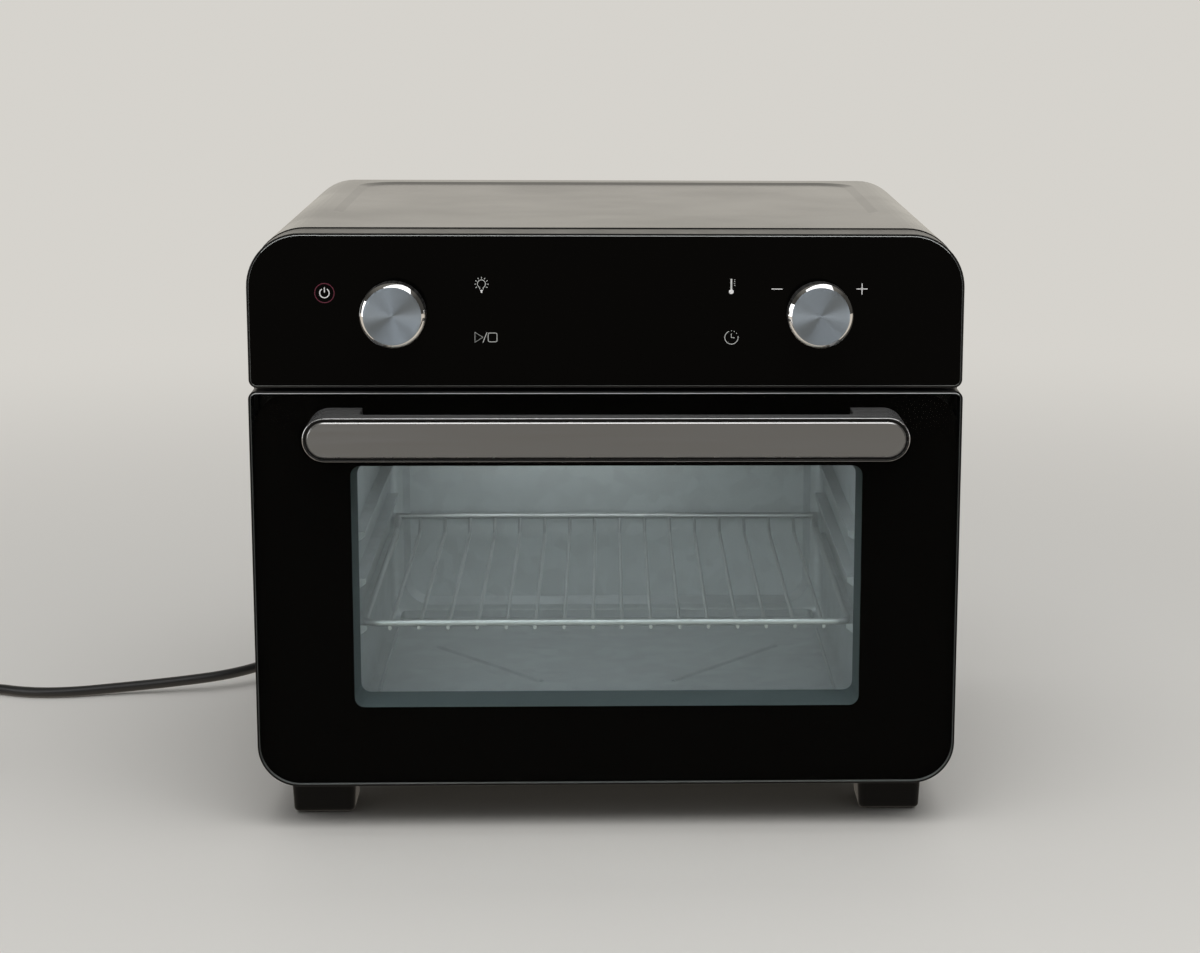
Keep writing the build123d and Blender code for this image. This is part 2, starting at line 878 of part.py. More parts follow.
def make_hinge_bracket(x):
    """Plate on the front frame with an ear that reaches into the door"""
    bore = pin_radius + running_gap
    plate_front = frame_front - bracket_thickness
    bracket = block(
        x - bracket_width / 2, x + bracket_width / 2, plate_front, frame_front,
        body_bottom + sheet + nest, body_bottom + sheet + nest + bracket_height,
    )
    half = ear_thickness / 2
    bracket += block(
        x - half, x + half, hinge_y, plate_front, hinge_z - ear_radius, hinge_z + ear_height
    )
    bracket += rod(ear_radius, (x - half, hinge_y, hinge_z), (x + half, hinge_y, hinge_z))
    bracket -= rod(bore, (x - half, hinge_y, hinge_z), (x + half, hinge_y, hinge_z))
    return bracket


def make_hinge_leaf(x):
    """Clip inside the door frame whose two cheeks hold the pin beside the ear"""
    inner = ear_thickness / 2 + cheek_gap
    outer = inner + cheek_thickness
    plate_back = front_back - door_wall
    plate_low = door_bottom + notch_height
    leaf = block(
        x - leaf_width / 2, x + leaf_width / 2, plate_back - leaf_thickness, plate_back,
        plate_low, plate_low + leaf_height,
    )
    for side in (-1, 1):
        x_low, x_high = sorted((x + side * inner, x + side * outer))
        leaf += block(
            x_low, x_high, hinge_y - cheek_radius, plate_back - leaf_thickness, hinge_z, plate_low + leaf_rise
        )
        leaf += rod(cheek_radius, (x_low, hinge_y, hinge_z), (x_high, hinge_y, hinge_z))
        leaf -= rod(pin_radius, (x_low, hinge_y, hinge_z), (x_high, hinge_y, hinge_z))
    return leaf


def make_hinge_pin(x):
    half = pin_length / 2
    return rod(pin_radius, (x - half, hinge_y, hinge_z), (x + half, hinge_y, hinge_z))


def make_bezel():
    """Moulding round and behind the control glass, on a skirt that meets the front frame"""
    width = body_width - 2 * panel_drop
    high_radius = top_radius - panel_drop
    bezel = plate(
        width, panel_bottom, panel_top, split_radius, high_radius, front_y + rim_setback, front_back
    )
    bezel = fillet(front_edges(bezel), rim_edge)
    bezel -= plate(
        width - 2 * panel_rim, panel_bottom + panel_rim, panel_top - panel_rim,
        split_radius - panel_rim, high_radius - panel_rim, front_y, panel_glass_back,
    )
    skirt = plate(
        width - 2 * skirt_inset, panel_bottom + skirt_inset, panel_top - skirt_inset,
        split_radius - skirt_inset, high_radius - skirt_inset, front_back, frame_front,
    )
    wall = skirt_inset + bezel_wall
    hollow = plate(
        width - 2 * wall, panel_bottom + wall, panel_top - wall,
        skirt_corner, high_radius - wall, bezel_floor_back, frame_front,
    )
    bezel = bezel + skirt - hollow
    for x in (-knob_x, knob_x):
        hole = bush_radius + bush_hole_gap
        bezel -= rod(hole, (x, panel_glass_back, knob_z), (x, bezel_floor_back, knob_z))
    half = display_width / 2 + display_slack
    tall = display_height / 2 + display_slack
    bezel -= block(-half, half, panel_glass_back, bezel_floor_back, knob_z - tall, knob_z + tall)
    for x, z in touch_keys:
        key_z = panel_bottom + z
        hole = touch_radius + touch_hole_gap
        bezel -= rod(hole, (x, panel_glass_back, key_z), (x, bezel_floor_back, key_z))
    for x in (-post_x, post_x):
        for side in (-1, 1):
            post_z = knob_z + side * (board_height / 2 - post_inset)
            bezel += rod(post_radius, (x, bezel_floor_back, post_z), (x, board_y, post_z))
    return bezel


def make_control_glass():
    inset = panel_drop + panel_rim + glass_gap
    glass = plate(
        body_width - 2 * inset, panel_bottom + panel_rim + glass_gap, body_top - inset,
        split_radius - panel_rim - glass_gap, top_radius - inset, front_y, panel_glass_back,
    )
    glass = chamfer(front_edges(glass), glass_edge)
    for x in (-knob_x, knob_x):
        glass -= rod(bush_radius + bush_hole_gap, (x, front_y, knob_z), (x, panel_glass_back, knob_z))
    return glass


def make_control_board():
    """Circuit board behind the glass, with a sensor pillar under each touch key"""
    half = board_width / 2
    tall = board_height / 2
    board = block(-half, half, board_y, board_y + board_thickness, knob_z - tall, knob_z + tall)
    for x, z in touch_keys:
        key_z = panel_bottom + z
        board += rod(touch_radius, (x, panel_glass_back, key_z), (x, board_y, key_z))
    chip_y = board_y + board_thickness
    for x, width in chips:
        board += block(
            x - width / 2, x + width / 2, chip_y, chip_y + chip_thickness,
            knob_z - chip_height / 2, knob_z + chip_height / 2,
        )
    return board


def make_display():
    half = display_width / 2
    tall = display_height / 2
    return block(-half, half, panel_glass_back, board_y, knob_z - tall, knob_z + tall)


def make_encoder(x):
    """Rotary encoder on the board, its bush through bezel and glass"""
    half = encoder_size / 2
    body = block(x - half, x + half, bezel_floor_back + nest, board_y, knob_z - half, knob_z + half)
    body += rod(bush_radius, (x, front_y, knob_z), (x, board_y - sheet, knob_z))
    body -= rod(
        shaft_radius + running_gap, (x, front_y, knob_z), (x, front_y + shaft_depth + running_gap, knob_z)
    )
    return body


def make_encoder_shaft(x):
    front = front_y - knob_length + shaft_front_gap
    return rod(shaft_radius, (x, front, knob_z), (x, front_y + shaft_depth, knob_z))


def make_knob_cap(x):
    """Spun aluminium cup with a chamfered edge and a slightly dished face"""
    face_y = front_y - knob_length
    back = front_y - knob_gap
    cap = rod(knob_radius, (x, back, knob_z), (x, face_y, knob_z))
    cap = chamfer(cap.faces().sort_by(Axis.Y)[0].edges(), knob_chamfer)
    cap -= rod(knob_radius - cap_wall, (x, back, knob_z), (x, face_y + cap_wall + cap_dish, knob_z))
    face_radius = knob_radius - knob_chamfer
    dish_radius = (face_radius ** 2 + cap_dish ** 2) / (2 * cap_dish)
    cap -= Pos(x, face_y + cap_dish - dish_radius, knob_z) * Sphere(dish_radius)
    return cap


def make_knob_core(x):
    """Moulded insert of a knob: hub, ring and ribs behind a disc"""
    front = front_y - knob_length + cap_wall + cap_dish
    back = front_y - knob_gap - 2 * cap_dish
    outer = knob_radius - cap_wall - core_gap
    core = rod(outer, (x, back, knob_z), (x, front, knob_z))
    core -= rod(outer - core_wall, (x, back, knob_z), (x, front + core_wall, knob_z))
    core += rod(hub_radius, (x, back, knob_z), (x, front + core_wall, knob_z))
    for k in range(core_ribs):
        rib = Box(outer - hub_radius, back - front, core_wall / 2)
        spoke = Pos((outer + hub_radius - core_wall) / 2, 0, 0) * rib
        core += Pos(x, (front + back) / 2, knob_z) * Rot(0, 360 * k / core_ribs, 0) * spoke
    shaft_front = front_y - knob_length + shaft_front_gap
    core -= rod(shaft_radius, (x, back, knob_z), (x, shaft_front, knob_z))
    return core


def make_rack():
    """Bent frame wire with welded cross wires and a raised bar at the back"""
    half = rack_width / 2 - rack_wire / 2
    back = rack_front + rack_depth
    front_axis = rack_front + rack_wire / 2
    back_axis = back - rack_wire / 2
    knee = back_axis - fence_run
    high = rack_z + fence_rise
    frame_route = FilletPolyline(
        (-half, back_axis, high), (-half, knee, rack_z), (-half, front_axis, rack_z),
        (half, front_axis, rack_z), (half, knee, rack_z), (half, back_axis, high),
        radius=rack_corner,
    )
    rack = swept_tube(frame_route, rack_wire / 2)
    end = half + rack_wire / 2
    rack += rod(rack_wire / 2, (-end, back_axis, high), (end, back_axis, high))
    drop = rack_wire / 2 + cross_wire / 2 - weld_sink
    for k in range(cross_count):
        x = (k - (cross_count - 1) / 2) * cross_pitch
        wire_route = FilletPolyline(
            (x, rack_front, rack_z - drop), (x, knee, rack_z - drop), (x, back_axis, high - drop / 2),
            radius=rack_corner,
        )
        rack += swept_tube(wire_route, cross_wire / 2)
    return rack


def make_tray():
    """Crumb tray: flat sheet with a low rim and two diagonal creases"""
    half = half_cavity - cavity_radius
    front = frame_back + tray_front_gap
    back = cavity_back - tray_back_gap
    low = cavity_floor + rest_gap
    depth = back - front
    place = Pos(0, (front + back) / 2, low)
    outline = RectangleRounded(2 * half, depth, tray_radius)
    inside = RectangleRounded(2 * (half - tray_sheet), depth - 2 * tray_sheet, tray_radius - tray_sheet)
    tray = extrude(place * outline, tray_rim)
    tray -= extrude(place * Pos(0, 0, tray_sheet) * inside, tray_rim)
    for side in (-1, 1):
        start = Vector(side * crease_start[0], front + crease_start[1])
        end = Vector(side * crease_end[0], front + crease_end[1])
        run = end - start
        ridge = Polyline((-crease_width / 2, 0), (0, crease_height), (crease_width / 2, 0), close=True)
        foot = Vector(start.X, start.Y, low + tray_sheet)
        along = Plane(origin=foot, x_dir=(-run.Y, run.X, 0), z_dir=(run.X, run.Y, 0))
        tray += extrude(along * make_face(ridge), run.length)
    return tray


def make_hot_air_fan():
    """Stamped fan: a disc with upright blades below it"""
    top = dome_top - fan_top_gap
    low = top - fan_blade_height
    fan = rod(fan_radius, (0, fan_y, top - sheet), (0, fan_y, top))
    fan += rod(fan_hub_radius, (0, fan_y, low), (0, fan_y, top))
    for k in range(fan_blades):
        blade = Box(fan_blade_length, fan_blade_thickness, fan_blade_height)
        swung = Rot(0, 0, fan_blade_twist) * blade
        placed = Pos(fan_radius - fan_blade_length / 2 - 2 * sheet, 0, (low + top) / 2 - sheet / 2) * swung
        fan += Pos(0, fan_y, 0) * Rot(0, 0, 360 * k / fan_blades) * placed
    fan -= rod(fan_shaft_radius, (0, fan_y, low), (0, fan_y, top))
    return fan


def make_cooling_fan():
    """Small fan between shield and motor that keeps the electronics cool"""
    low = shield_top + fan_gap
    high = low + cooling_height
    fan = rod(cooling_radius, (0, fan_y, low), (0, fan_y, low + sheet))
    fan += rod(fan_hub_radius, (0, fan_y, low), (0, fan_y, high))
    for k in range(cooling_blades):
        length = cooling_radius - fan_hub_radius
        middle = fan_hub_radius + length / 2 - sheet
        blade = Pos(middle, 0, (low + high) / 2) * Box(length, sheet, cooling_height)
        fan += Pos(0, fan_y, 0) * Rot(0, 0, 360 * k / cooling_blades) * blade
    fan -= rod(fan_shaft_radius, (0, fan_y, low), (0, fan_y, high))
    return fan


def motor_base():
    """Height of the motor bracket's plate"""
    return shield_top + 2 * fan_gap + cooling_height


def make_motor_bracket():
    """Crossed plate on four legs over the cooling fan"""
    low = motor_base()
    outer = bracket_spread + bracket_leg
    half = bracket_arm_width / 2
    bracket = block(-outer, outer, fan_y - half, fan_y + half, low, low + sheet)
    bracket += block(-half, half, fan_y - outer, fan_y + outer, low, low + sheet)
    for turn in range(4):
        leg = block(bracket_spread, outer, -half, half, shield_top, low + sheet)
        bracket += Pos(0, fan_y, 0) * Rot(0, 0, 90 * turn) * leg
    bracket -= rod(shaft_hole_radius, (0, fan_y, low), (0, fan_y, low + sheet))
    return bracket


def make_motor():
    """Shaded-pole motor: square stack, winding on one side and a bearing on top"""
    low = motor_base() + sheet
    high = low + motor_height
    top = high + bearing_height
    half_w = motor_width / 2
    half_d = motor_depth / 2
    half = winding_width / 2
    motor = block(-half_w, half_w, fan_y - half_d, fan_y + half_d, low, high)
    motor += block(
        half_w, half_w + winding_reach, fan_y - half, fan_y + half, low + winding_inset, high - winding_inset
    )
    motor += rod(bearing_radius, (0, fan_y, high), (0, fan_y, top))
    motor -= rod(fan_shaft_radius + running_gap, (0, fan_y, low), (0, fan_y, top))
    return motor


def make_fan_shaft():
    low = dome_top - fan_top_gap - fan_blade_height - shaft_tail
    high = motor_base() + sheet + motor_height + shaft_tail
    return rod(fan_shaft_radius, (0, fan_y, low), (0, fan_y, high))


def top_heater_ends():
    """X and Y where the top heater's two ends go up through the ceiling"""
    half_gap = math.radians((360 - top_heater_sweep) / 2)
    reach = top_heater_radius
    ends = []
    for side in (-1, 1):
        angle = math.pi / 2 + side * half_gap
        x = reach * math.cos(angle) + side * heater_bend * math.sin(angle)
        y = reach * math.sin(angle) - side * heater_bend * math.cos(angle)
        ends.append((x, fan_y + y))
    return ends


def make_top_heater():
    """Sheathed ring below the ceiling, its two ends turned up through it"""
    z = cavity_top - top_heater_drop
    gap = 360 - top_heater_sweep
    ring = CenterArc((0, fan_y, z), top_heater_radius, 90 + gap / 2, top_heater_sweep)
    edges = [ring]
    for point, tangent in ((ring @ 0, -(ring % 0)), (ring @ 1, ring % 1)):
        up = Vector(0, 0, 1)
        lean = math.sqrt(0.5)
        middle = point + tangent * (heater_bend * lean) + up * (heater_bend * (1 - lean))
        corner = point + tangent * heater_bend + up * heater_bend
        edges.append(ThreePointArc(point, middle, corner))
        edges.append(Line(corner, corner + up * heater_end_rise))
    path = Wire(edges)
    return swept_tube(path, heater_radius)


def make_bottom_heater():
    """Sheathed loop under the cavity floor, clipped to it"""
    z = cavity_low - sheet - heater_radius - rest_gap
    half = bottom_heater_width / 2
    front = fan_y - bottom_heater_depth / 2
    back = fan_y + bottom_heater_depth / 2
    inner = back - 2 * bottom_heater_corner
    route = FilletPolyline(
        (bottom_heater_lead, back, z), (-half, back, z), (-half, front, z), (half, front, z),
        (half, inner, z), (bottom_heater_lead, inner, z),
        radius=bottom_heater_corner * corner_share * 2,
    )
    return swept_tube(route, heater_radius)


def make_guard():
    """Dished guard below fan and heater, slotted like a wheel"""
    low = cavity_top - guard_depth
    outer = guard_radius + guard_sheet
    base = (0, fan_y, low)
    guard = rod(outer, base, (0, fan_y, cavity_top))
    guard -= rod(guard_radius, (0, fan_y, low + guard_sheet), (0, fan_y, cavity_top))
    rim_low = cavity_top - guard_sheet
    flange = rod(outer + guard_flange, (0, fan_y, rim_low), (0, fan_y, cavity_top))
    flange -= rod(outer, (0, fan_y, rim_low), (0, fan_y, cavity_top))
    guard += flange
    slots = Sketch()
    length = guard_slot_outer - guard_slot_inner
    for k in range(guard_slots):
        start = guard_slot_inner + (length / 3 if k % 2 else 0)
        run = guard_slot_outer - start
        slot = Pos(start + run / 2, 0) * SlotOverall(run, guard_slot_width)
        slots += Rot(0, 0, 360 * k / guard_slots) * slot
    guard -= extrude(Pos(*base) * slots, guard_sheet)
    return guard


def make_lamp_holder():
    """Cup outside the cavity wall, with its collar"""
    z = cavity_floor + lamp_height
    wall = half_cavity + sheet
    end = wall + lamp_holder_depth
    holder = rod(lamp_radius + lamp_collar, (wall, lamp_y, z), (wall + lamp_collar_thickness, lamp_y, z))
    holder += rod(lamp_radius, (half_cavity, lamp_y, z), (end, lamp_y, z))
    floor_x = end - lamp_holder_floor
    holder -= rod(lamp_radius - lamp_holder_wall, (half_cavity, lamp_y, z), (floor_x, lamp_y, z))
    return holder


def make_lamp_bulb():
    """Small halogen capsule in the holder"""
    z = cavity_floor + lamp_height
    seat = half_cavity + sheet + lamp_holder_depth - lamp_holder_floor
    neck = seat - bulb_base_length
    bulb = rod(bulb_base_radius, (neck, lamp_y, z), (seat, lamp_y, z))
    bulb += rod(bulb_radius, (neck - bulb_length, lamp_y, z), (neck, lamp_y, z))
    return bulb


def make_lamp_cover():
    """Shallow glass bowl on the inside of the cavity wall"""
    z = cavity_floor + lamp_height
    tip = half_cavity - lamp_cover_reach
    cover = rod(lamp_cover_radius, (half_cavity, lamp_y, z), (tip, lamp_y, z))
    cover = fillet(cover.faces().sort_by(Axis.X)[0].edges(), lamp_cover_fillet)
    cover -= rod(lamp_radius, (half_cavity, lamp_y, z), (tip + lamp_cover_thickness, lamp_y, z))
    return cover


def make_probe():
    """Thin sensor rod through the left wall, with its fixing flange outside"""
    z = cavity_floor + probe_height
    wall = -half_cavity
    outside = wall - sheet
    probe = rod(probe_radius, (outside - probe_tail, probe_y, z), (wall + probe_reach, probe_y, z))
    probe += rod(probe_flange, (outside - probe_flange_thickness, probe_y, z), (outside, probe_y, z))
    return probe


def make_cutout():
    """Bimetal cut-out on the cavity ceiling with its two blades"""
    low = cavity_top + sheet
    top = low + cutout_height
    cutout = rod(cutout_radius, (cutout_x, cutout_y, low), (cutout_x, cutout_y, top))
    for side in (-1, 1):
        x = cutout_x + side * cutout_radius / 2
        cutout += block(
            x - blade_thickness / 2, x + blade_thickness / 2,
            cutout_y - blade_width / 2, cutout_y + blade_width / 2, top, top + blade_height,
        )
    return cutout


def make_power_board():
    """Power board on four pillars with its relays, transformer and capacitor"""
    low = shield_top + power_standoff
    top = low + board_thickness
    half_w = power_board_width / 2
    half_d = power_board_depth / 2
    x = power_board_x
    y = power_board_y
    board = block(x - half_w, x + half_w, y - half_d, y + half_d, low, top)
    for dx in pillar_x:
        for dy in pillar_y:
            board += rod(pillar_radius, (x + dx, y + dy, shield_top), (x + dx, y + dy, low))
    for dx, dy, width, depth, height in board_parts:
        board += block(
            x + dx - width / 2, x + dx + width / 2, y + dy - depth / 2, y + dy + depth / 2, top, top + height
        )
    cap_x = x + capacitor_place[0]
    cap_y = y + capacitor_place[1]
    board += rod(capacitor_radius, (cap_x, cap_y, top), (cap_x, cap_y, top + capacitor_height))
    return board


def make_terminal_block():
    """Three-pole mains terminal on the floor sheet, near where the lead comes in"""
    back = entry_y - terminal_gap
    front = back - terminal_depth
    half = terminal_width / 2
    top = pan_top + terminal_height
    body = block(terminal_x - half, terminal_x + half, front, back, pan_top, top)
    for k in (-1, 0, 1):
        x = terminal_x + k * terminal_pitch
        y = (front + back) / 2
        body -= rod(terminal_bore, (x, y, top - terminal_bore_depth), (x, y, top))
    return body


def foot_block(x, y):
    """Tapered foot with rounded corners, a pad pocket and a screw bore"""
    top = RectangleRounded(foot_width, foot_depth, foot_radius)
    taper = 2 * foot_taper
    low = RectangleRounded(foot_width - taper, foot_depth - taper, foot_radius - foot_taper)
    body = loft([Pos(x, y, pad_reach) * low, Pos(x, y, body_bottom) * top])
    body = fillet(body.faces().sort_by(Axis.Z)[0].edges(), foot_radius / 2)
    pocket = RectangleRounded(pad_width, pad_depth, foot_radius - foot_taper)
    body -= extrude(Pos(x, y, pad_reach) * pocket, pad_thickness - pad_reach)
    body -= rod(screw_head_radius, (x, y, pad_thickness), (x, y, foot_screw_seat))
    body -= rod(foot_screw_radius, (x, y, foot_screw_seat), (x, y, body_bottom))
    return body


def make_feet():
    return Part() + [foot_block(x, y) for x, y in foot_places()]


def make_foot_pads():
    pad = extrude(RectangleRounded(pad_width, pad_depth, foot_radius - foot_taper), pad_thickness)
    return Part() + [Pos(x, y, 0) * pad for x, y in foot_places()]


def make_foot_screws():
    screws = Part()
    for x, y in foot_places():
        head_low = foot_screw_seat - screw_head_height
        screws += rod(screw_head_radius - nest, (x, y, head_low), (x, y, foot_screw_seat))
        screws += rod(foot_screw_radius, (x, y, head_low), (x, y, head_low + foot_screw_length))
    return screws


def make_spacers():
    """Tapered stand-offs that keep the back away from a wall"""
    spacers = Part()
    for x, z in spacer_places():
        outward = Plane(origin=(x, rear_y, z), z_dir=(0, 1, 0))
        base = outward * Circle(spacer_base_radius)
        tip = outward.offset(spacer_length) * Circle(spacer_tip_radius)
        body = loft([base, tip])
        seat = rear_y + spacer_seat
        body -= rod(screw_head_radius, (x, seat, z), (x, rear_y + spacer_length, z))
        body -= rod(spacer_screw_radius, (x, rear_y, z), (x, seat, z))
        spacers += body
    return spacers


def make_spacer_screws():
    screws = Part()
    for x, z in spacer_places():
        seat = rear_y + spacer_seat
        screws += rod(spacer_screw_radius, (x, rear_y - pan_lip + sheet, z), (x, seat, z))
        screws += rod(screw_head_radius - nest, (x, seat, z), (x, seat + screw_head_height, z))
    return screws


def make_wrap_screws():
    """Low-headed screws in both sides near the rear edge"""
    screws = Part()
    y = rear_y - wrap_screw_inset
    side_x = body_width / 2
    for side, z in wrap_screw_places():
        tip = side_x - wrap_screw_length
        screws += rod(wrap_screw_radius, (side * tip, y, z), (side * side_x, y, z))
    return screws


def make_strain_relief():
    """Ribbed, tapering sleeve that carries the lead out of the rear panel"""
    x = cord_exit_x
    z = cord_exit_height
    outward = Plane(origin=(x, entry_y, z), z_dir=(0, 1, 0))
    shoulder = relief_flange_thickness
    relief = extrude(outward * Circle(relief_flange_radius), shoulder)
    base = outward.offset(shoulder) * Circle(relief_base_radius)
    tip = outward.offset(relief_length) * Circle(relief_tip_radius)
    relief += loft([base, tip])
    relief += extrude(outward.offset(-sheet) * Circle(relief_neck_radius), sheet)
    collar_radius = relief_neck_radius + relief_collar
    relief += extrude(outward.offset(-sheet - shoulder) * Circle(collar_radius), shoulder)
    pitch = (relief_length - shoulder) / (relief_grooves + 1)
    for k in range(relief_grooves):
        start = shoulder + (k + 1) * pitch - relief_groove_width / 2
        ring = outward.offset(start) * Circle(relief_flange_radius)
        middle = (start + relief_groove_width / 2 - shoulder) / (relief_length - shoulder)
        here = relief_base_radius + (relief_tip_radius - relief_base_radius) * middle
        bore = outward.offset(start) * Circle(here - relief_groove_depth)
        relief -= extrude(ring, relief_groove_width) - extrude(bore, relief_groove_width)
    return relief


def lead_route():
    """Points of the free lead, from the strain relief round to the coil"""
    x = cord_exit_x
    y = relief_tip_y
    z = cord_exit_height
    start_y = coil_y + coil_radius
    return [
        (x, y, z), (x, y + 26, z), (x - 12, y + 51.5, z - 4), (x - 36, y + 63.5, z - 12),
        (x - 62, y + 56.5, z - 22), (x - 78, y + 32.5, z - 32), (x - 86, y - 0.5, z - 40),
        (x - 101, y - 29.5, z - 45.5), (x - 128, y - 49.5, z - 48), (x - 164, y - 58.5, z - 50.5),
        (x - 204, y - 63.5, z - 53.2), (x - 240, y - 72, cord_axis), (x - 270, y - 72, cord_axis),
        (x - 296, y - 60.8, cord_axis), (x - 324, start_y, cord_axis),
        (coil_x + cord_diameter, start_y, cord_axis),
    ]


def coil_crossings():
    """Where the coil's turns cross its long axis: spiral in, climb one layer, spiral out"""
    climb = coil_half_turns // 2
    crossings = []
    for k in range(coil_half_turns + 1):
        inward = min(k, climb)
        outward = max(k - climb - 1, 0)
        reach = coil_radius - (inward - outward) * coil_step
        side = 1 if k % 2 == 0 else -1
        layer = 1 if k > climb else 0
        crossings.append(Vector(side * reach, 0, cord_axis + layer * layer_rise))
    return crossings


def coil_path():
    """Half turns of the coil, with a straight end of one cord diameter at each side"""
    crossings = coil_crossings()
    first = crossings[0]
    last = crossings[-1]
    edges = [Line(first - Vector(0, cord_diameter, 0), first)]
    for k, (start, end) in enumerate(zip(crossings, crossings[1:])):
        bulge = (end - start).length / 2
        side = 1 if k % 2 == 0 else -1
        middle = (start + end) / 2 + Vector(0, side * bulge, 0)
        edges.append(ThreePointArc(start, middle, end))
    heading = 1 if coil_half_turns % 2 == 0 else -1
    edges.append(Line(last, last + Vector(0, heading * cord_diameter, 0)))
    return Pos(coil_x, coil_y, 0) * Rot(0, 0, 90) * Wire(edges)


def tail_route():
    """Points of the short end between coil and plug"""
    layer_z = cord_axis + layer_rise
    start_y = coil_y - coil_radius
    plug_z = plug_radius
    return [
        (coil_x + cord_diameter, start_y, layer_z),
        (coil_x + 28, start_y, layer_z),
        (coil_x + 47, start_y - 9, layer_z + 1),
        (coil_x + plug_x_gap - 2, start_y - 27, layer_z + 3),
        (coil_x + plug_x_gap, start_y - 47, plug_z),
        (coil_x + plug_x_gap, start_y - plug_y_gap, plug_z),
    ]


def least_gap(path, diameter):
    """Smallest space that a path of this diameter leaves to itself, measured on points"""
    count = 400
    apart = 2.5 * diameter
    length = path.length
    points = [path.position_at(k / count) for k in range(count + 1)]
    step = length / count
    skip = int(apart / step)
    gaps = []
    for i, here in enumerate(points):
        for there in points[i + skip:]:
            gaps.append((here - there).length)
    return min(gaps) - diameter


def make_plug():
    """Round two-pin plug with a tapered neck, lying on its side"""
    profile = Polyline(
        (0, 0), (plug_tail_radius, 0), (plug_neck_radius, plug_neck_end),
        (plug_grip_radius, plug_grip_start), (plug_grip_radius, plug_grip_end),
        (plug_radius, plug_face_start), (plug_radius, plug_length), (0, plug_length),
        close=True,
    )
    body = revolve(Plane.XZ * make_face(profile), Axis.Z)
    for side in (-1, 1):
        x_low, x_high = sorted((side * (plug_radius - earth_depth), side * (plug_radius + 1)))
        half = earth_width / 2
        body -= block(x_low, x_high, -half, half, earth_start, plug_length)
    socket_y = plug_radius / 2
    socket_floor = plug_length - earth_socket_depth
    body -= rod(earth_socket_radius, (0, socket_y, socket_floor), (0, socket_y, plug_length))
    return plug_plane() * body


def make_plug_pins():
    """Two round pins and the two side contacts"""
    pins = Part()
    tip = plug_length + plug_pin_length
    half = plug_pin_spacing / 2
    for y in (-half, half):
        pin = rod(plug_pin_radius, (y, 0, plug_length), (y, 0, tip))
        pins += chamfer(pin.faces().sort_by(Axis.Z)[-1].edges(), plug_pin_radius / 3)
    for side in (-1, 1):
        inner = plug_radius - earth_depth
        x_low, x_high = sorted((side * inner, side * (inner + sheet)))
        width = earth_width / 2 - nest
        pins += block(x_low, x_high, -width, width, earth_start + nest, plug_length - nest)
    return plug_plane() * pins


def plug_plane():
    """Where the lead enters the plug, with +Z towards its pins"""
    return Plane(origin=tail_route()[-1], x_dir=(1, 0, 0), z_dir=(0, -1, 0))


def make_lead(route, name):
    """Free stretch of the lead along a route of points"""
    radii = corner_radii(route)
    path = FilletPolyline(*route, radius=radii)
    solid = swept_tube(path, cord_radius)
    section = math.pi * cord_radius ** 2
    print(name, "length", round(path.length, 1), "radii", [round(radius, 1) for radius in radii])
    print(name, "volume over section times length", round(solid.volume / (section * path.length), 4))
    return solid


def make_coil():
    path = coil_path()
    solid = swept_tube(path, cord_radius)
    section = math.pi * cord_radius ** 2
    print("cord_coil length", round(path.length, 1), "least gap", round(least_gap(path, cord_diameter), 2))
    print("cord_coil volume over section times length", round(solid.volume / (section * path.length), 4))
    return solid


parts["cabinet_wrap"] = make_wrap()
parts["base_pan"] = make_base_pan()
parts["rear_panel"] = make_rear_panel()
parts["cavity_liner"] = make_liner()
parts["front_frame"] = make_front_frame()
parts["door_seal"] = make_seal()
parts["heat_shield"] = make_heat_shield()
parts["control_bezel"] = make_bezel()
parts["control_glass"] = make_control_glass()
parts["control_board"] = make_control_board()
parts["display_module"] = make_display()
parts["power_board"] = make_power_board()
parts["terminal_block"] = make_terminal_block()
parts["top_heater"] = make_top_heater()
parts["bottom_heater"] = make_bottom_heater()
parts["fan_guard"] = make_guard()
parts["motor_bracket"] = make_motor_bracket()
parts["fan_motor"] = make_motor()
parts["lamp_holder"] = make_lamp_holder()
parts["lamp_bulb"] = make_lamp_bulb()
parts["lamp_cover"] = make_lamp_cover()
parts["temperature_probe"] = make_probe()
parts["thermal_cutout"] = make_cutout()
parts["feet"] = make_feet()
parts["foot_pads"] = make_foot_pads()
parts["foot_screws"] = make_foot_screws()
parts["rear_spacers"] = make_spacers()
parts["spacer_screws"] = make_spacer_screws()
parts["wrap_screws"] = make_wrap_screws()
parts["strain_relief"] = make_strain_relief()
for side_name, side_sign in (("left", -1), ("right", 1)):
    parts["encoder_" + side_name] = make_encoder(side_sign * knob_x)
    parts["encoder_shaft_" + side_name] = make_encoder_shaft(side_sign * knob_x)
    parts["knob_core_" + side_name] = make_knob_core(side_sign * knob_x)
    parts["knob_cap_" + side_name] = make_knob_cap(side_sign * knob_x)
    parts["hinge_bracket_" + side_name] = make_hinge_bracket(side_sign * hinge_x)
    parts["hinge_leaf_" + side_name] = make_hinge_leaf(side_sign * hinge_x)
    parts["hinge_pin_" + side_name] = make_hinge_pin(side_sign * hinge_x)
parts["door_frame"] = make_door_frame()
parts["door_outer_glass"] = make_outer_glass()
parts["door_inner_glass"] = make_inner_glass()
parts["handle_bar"] = make_handle_bar()
parts["handle_face"] = make_handle_face()
parts["handle_screws"] = make_handle_screws()
parts["wire_rack"] = make_rack()
parts["crumb_tray"] = make_tray()
parts["hot_air_fan"] = make_hot_air_fan()
parts["cooling_fan"] = make_cooling_fan()
parts["fan_shaft"] = make_fan_shaft()
parts["cord_lead"] = make_lead(lead_route(), "cord_lead")
parts["cord_coil"] = make_coil()
parts["cord_tail"] = make_lead(tail_route(), "cord_tail")
parts["plug"] = make_plug()
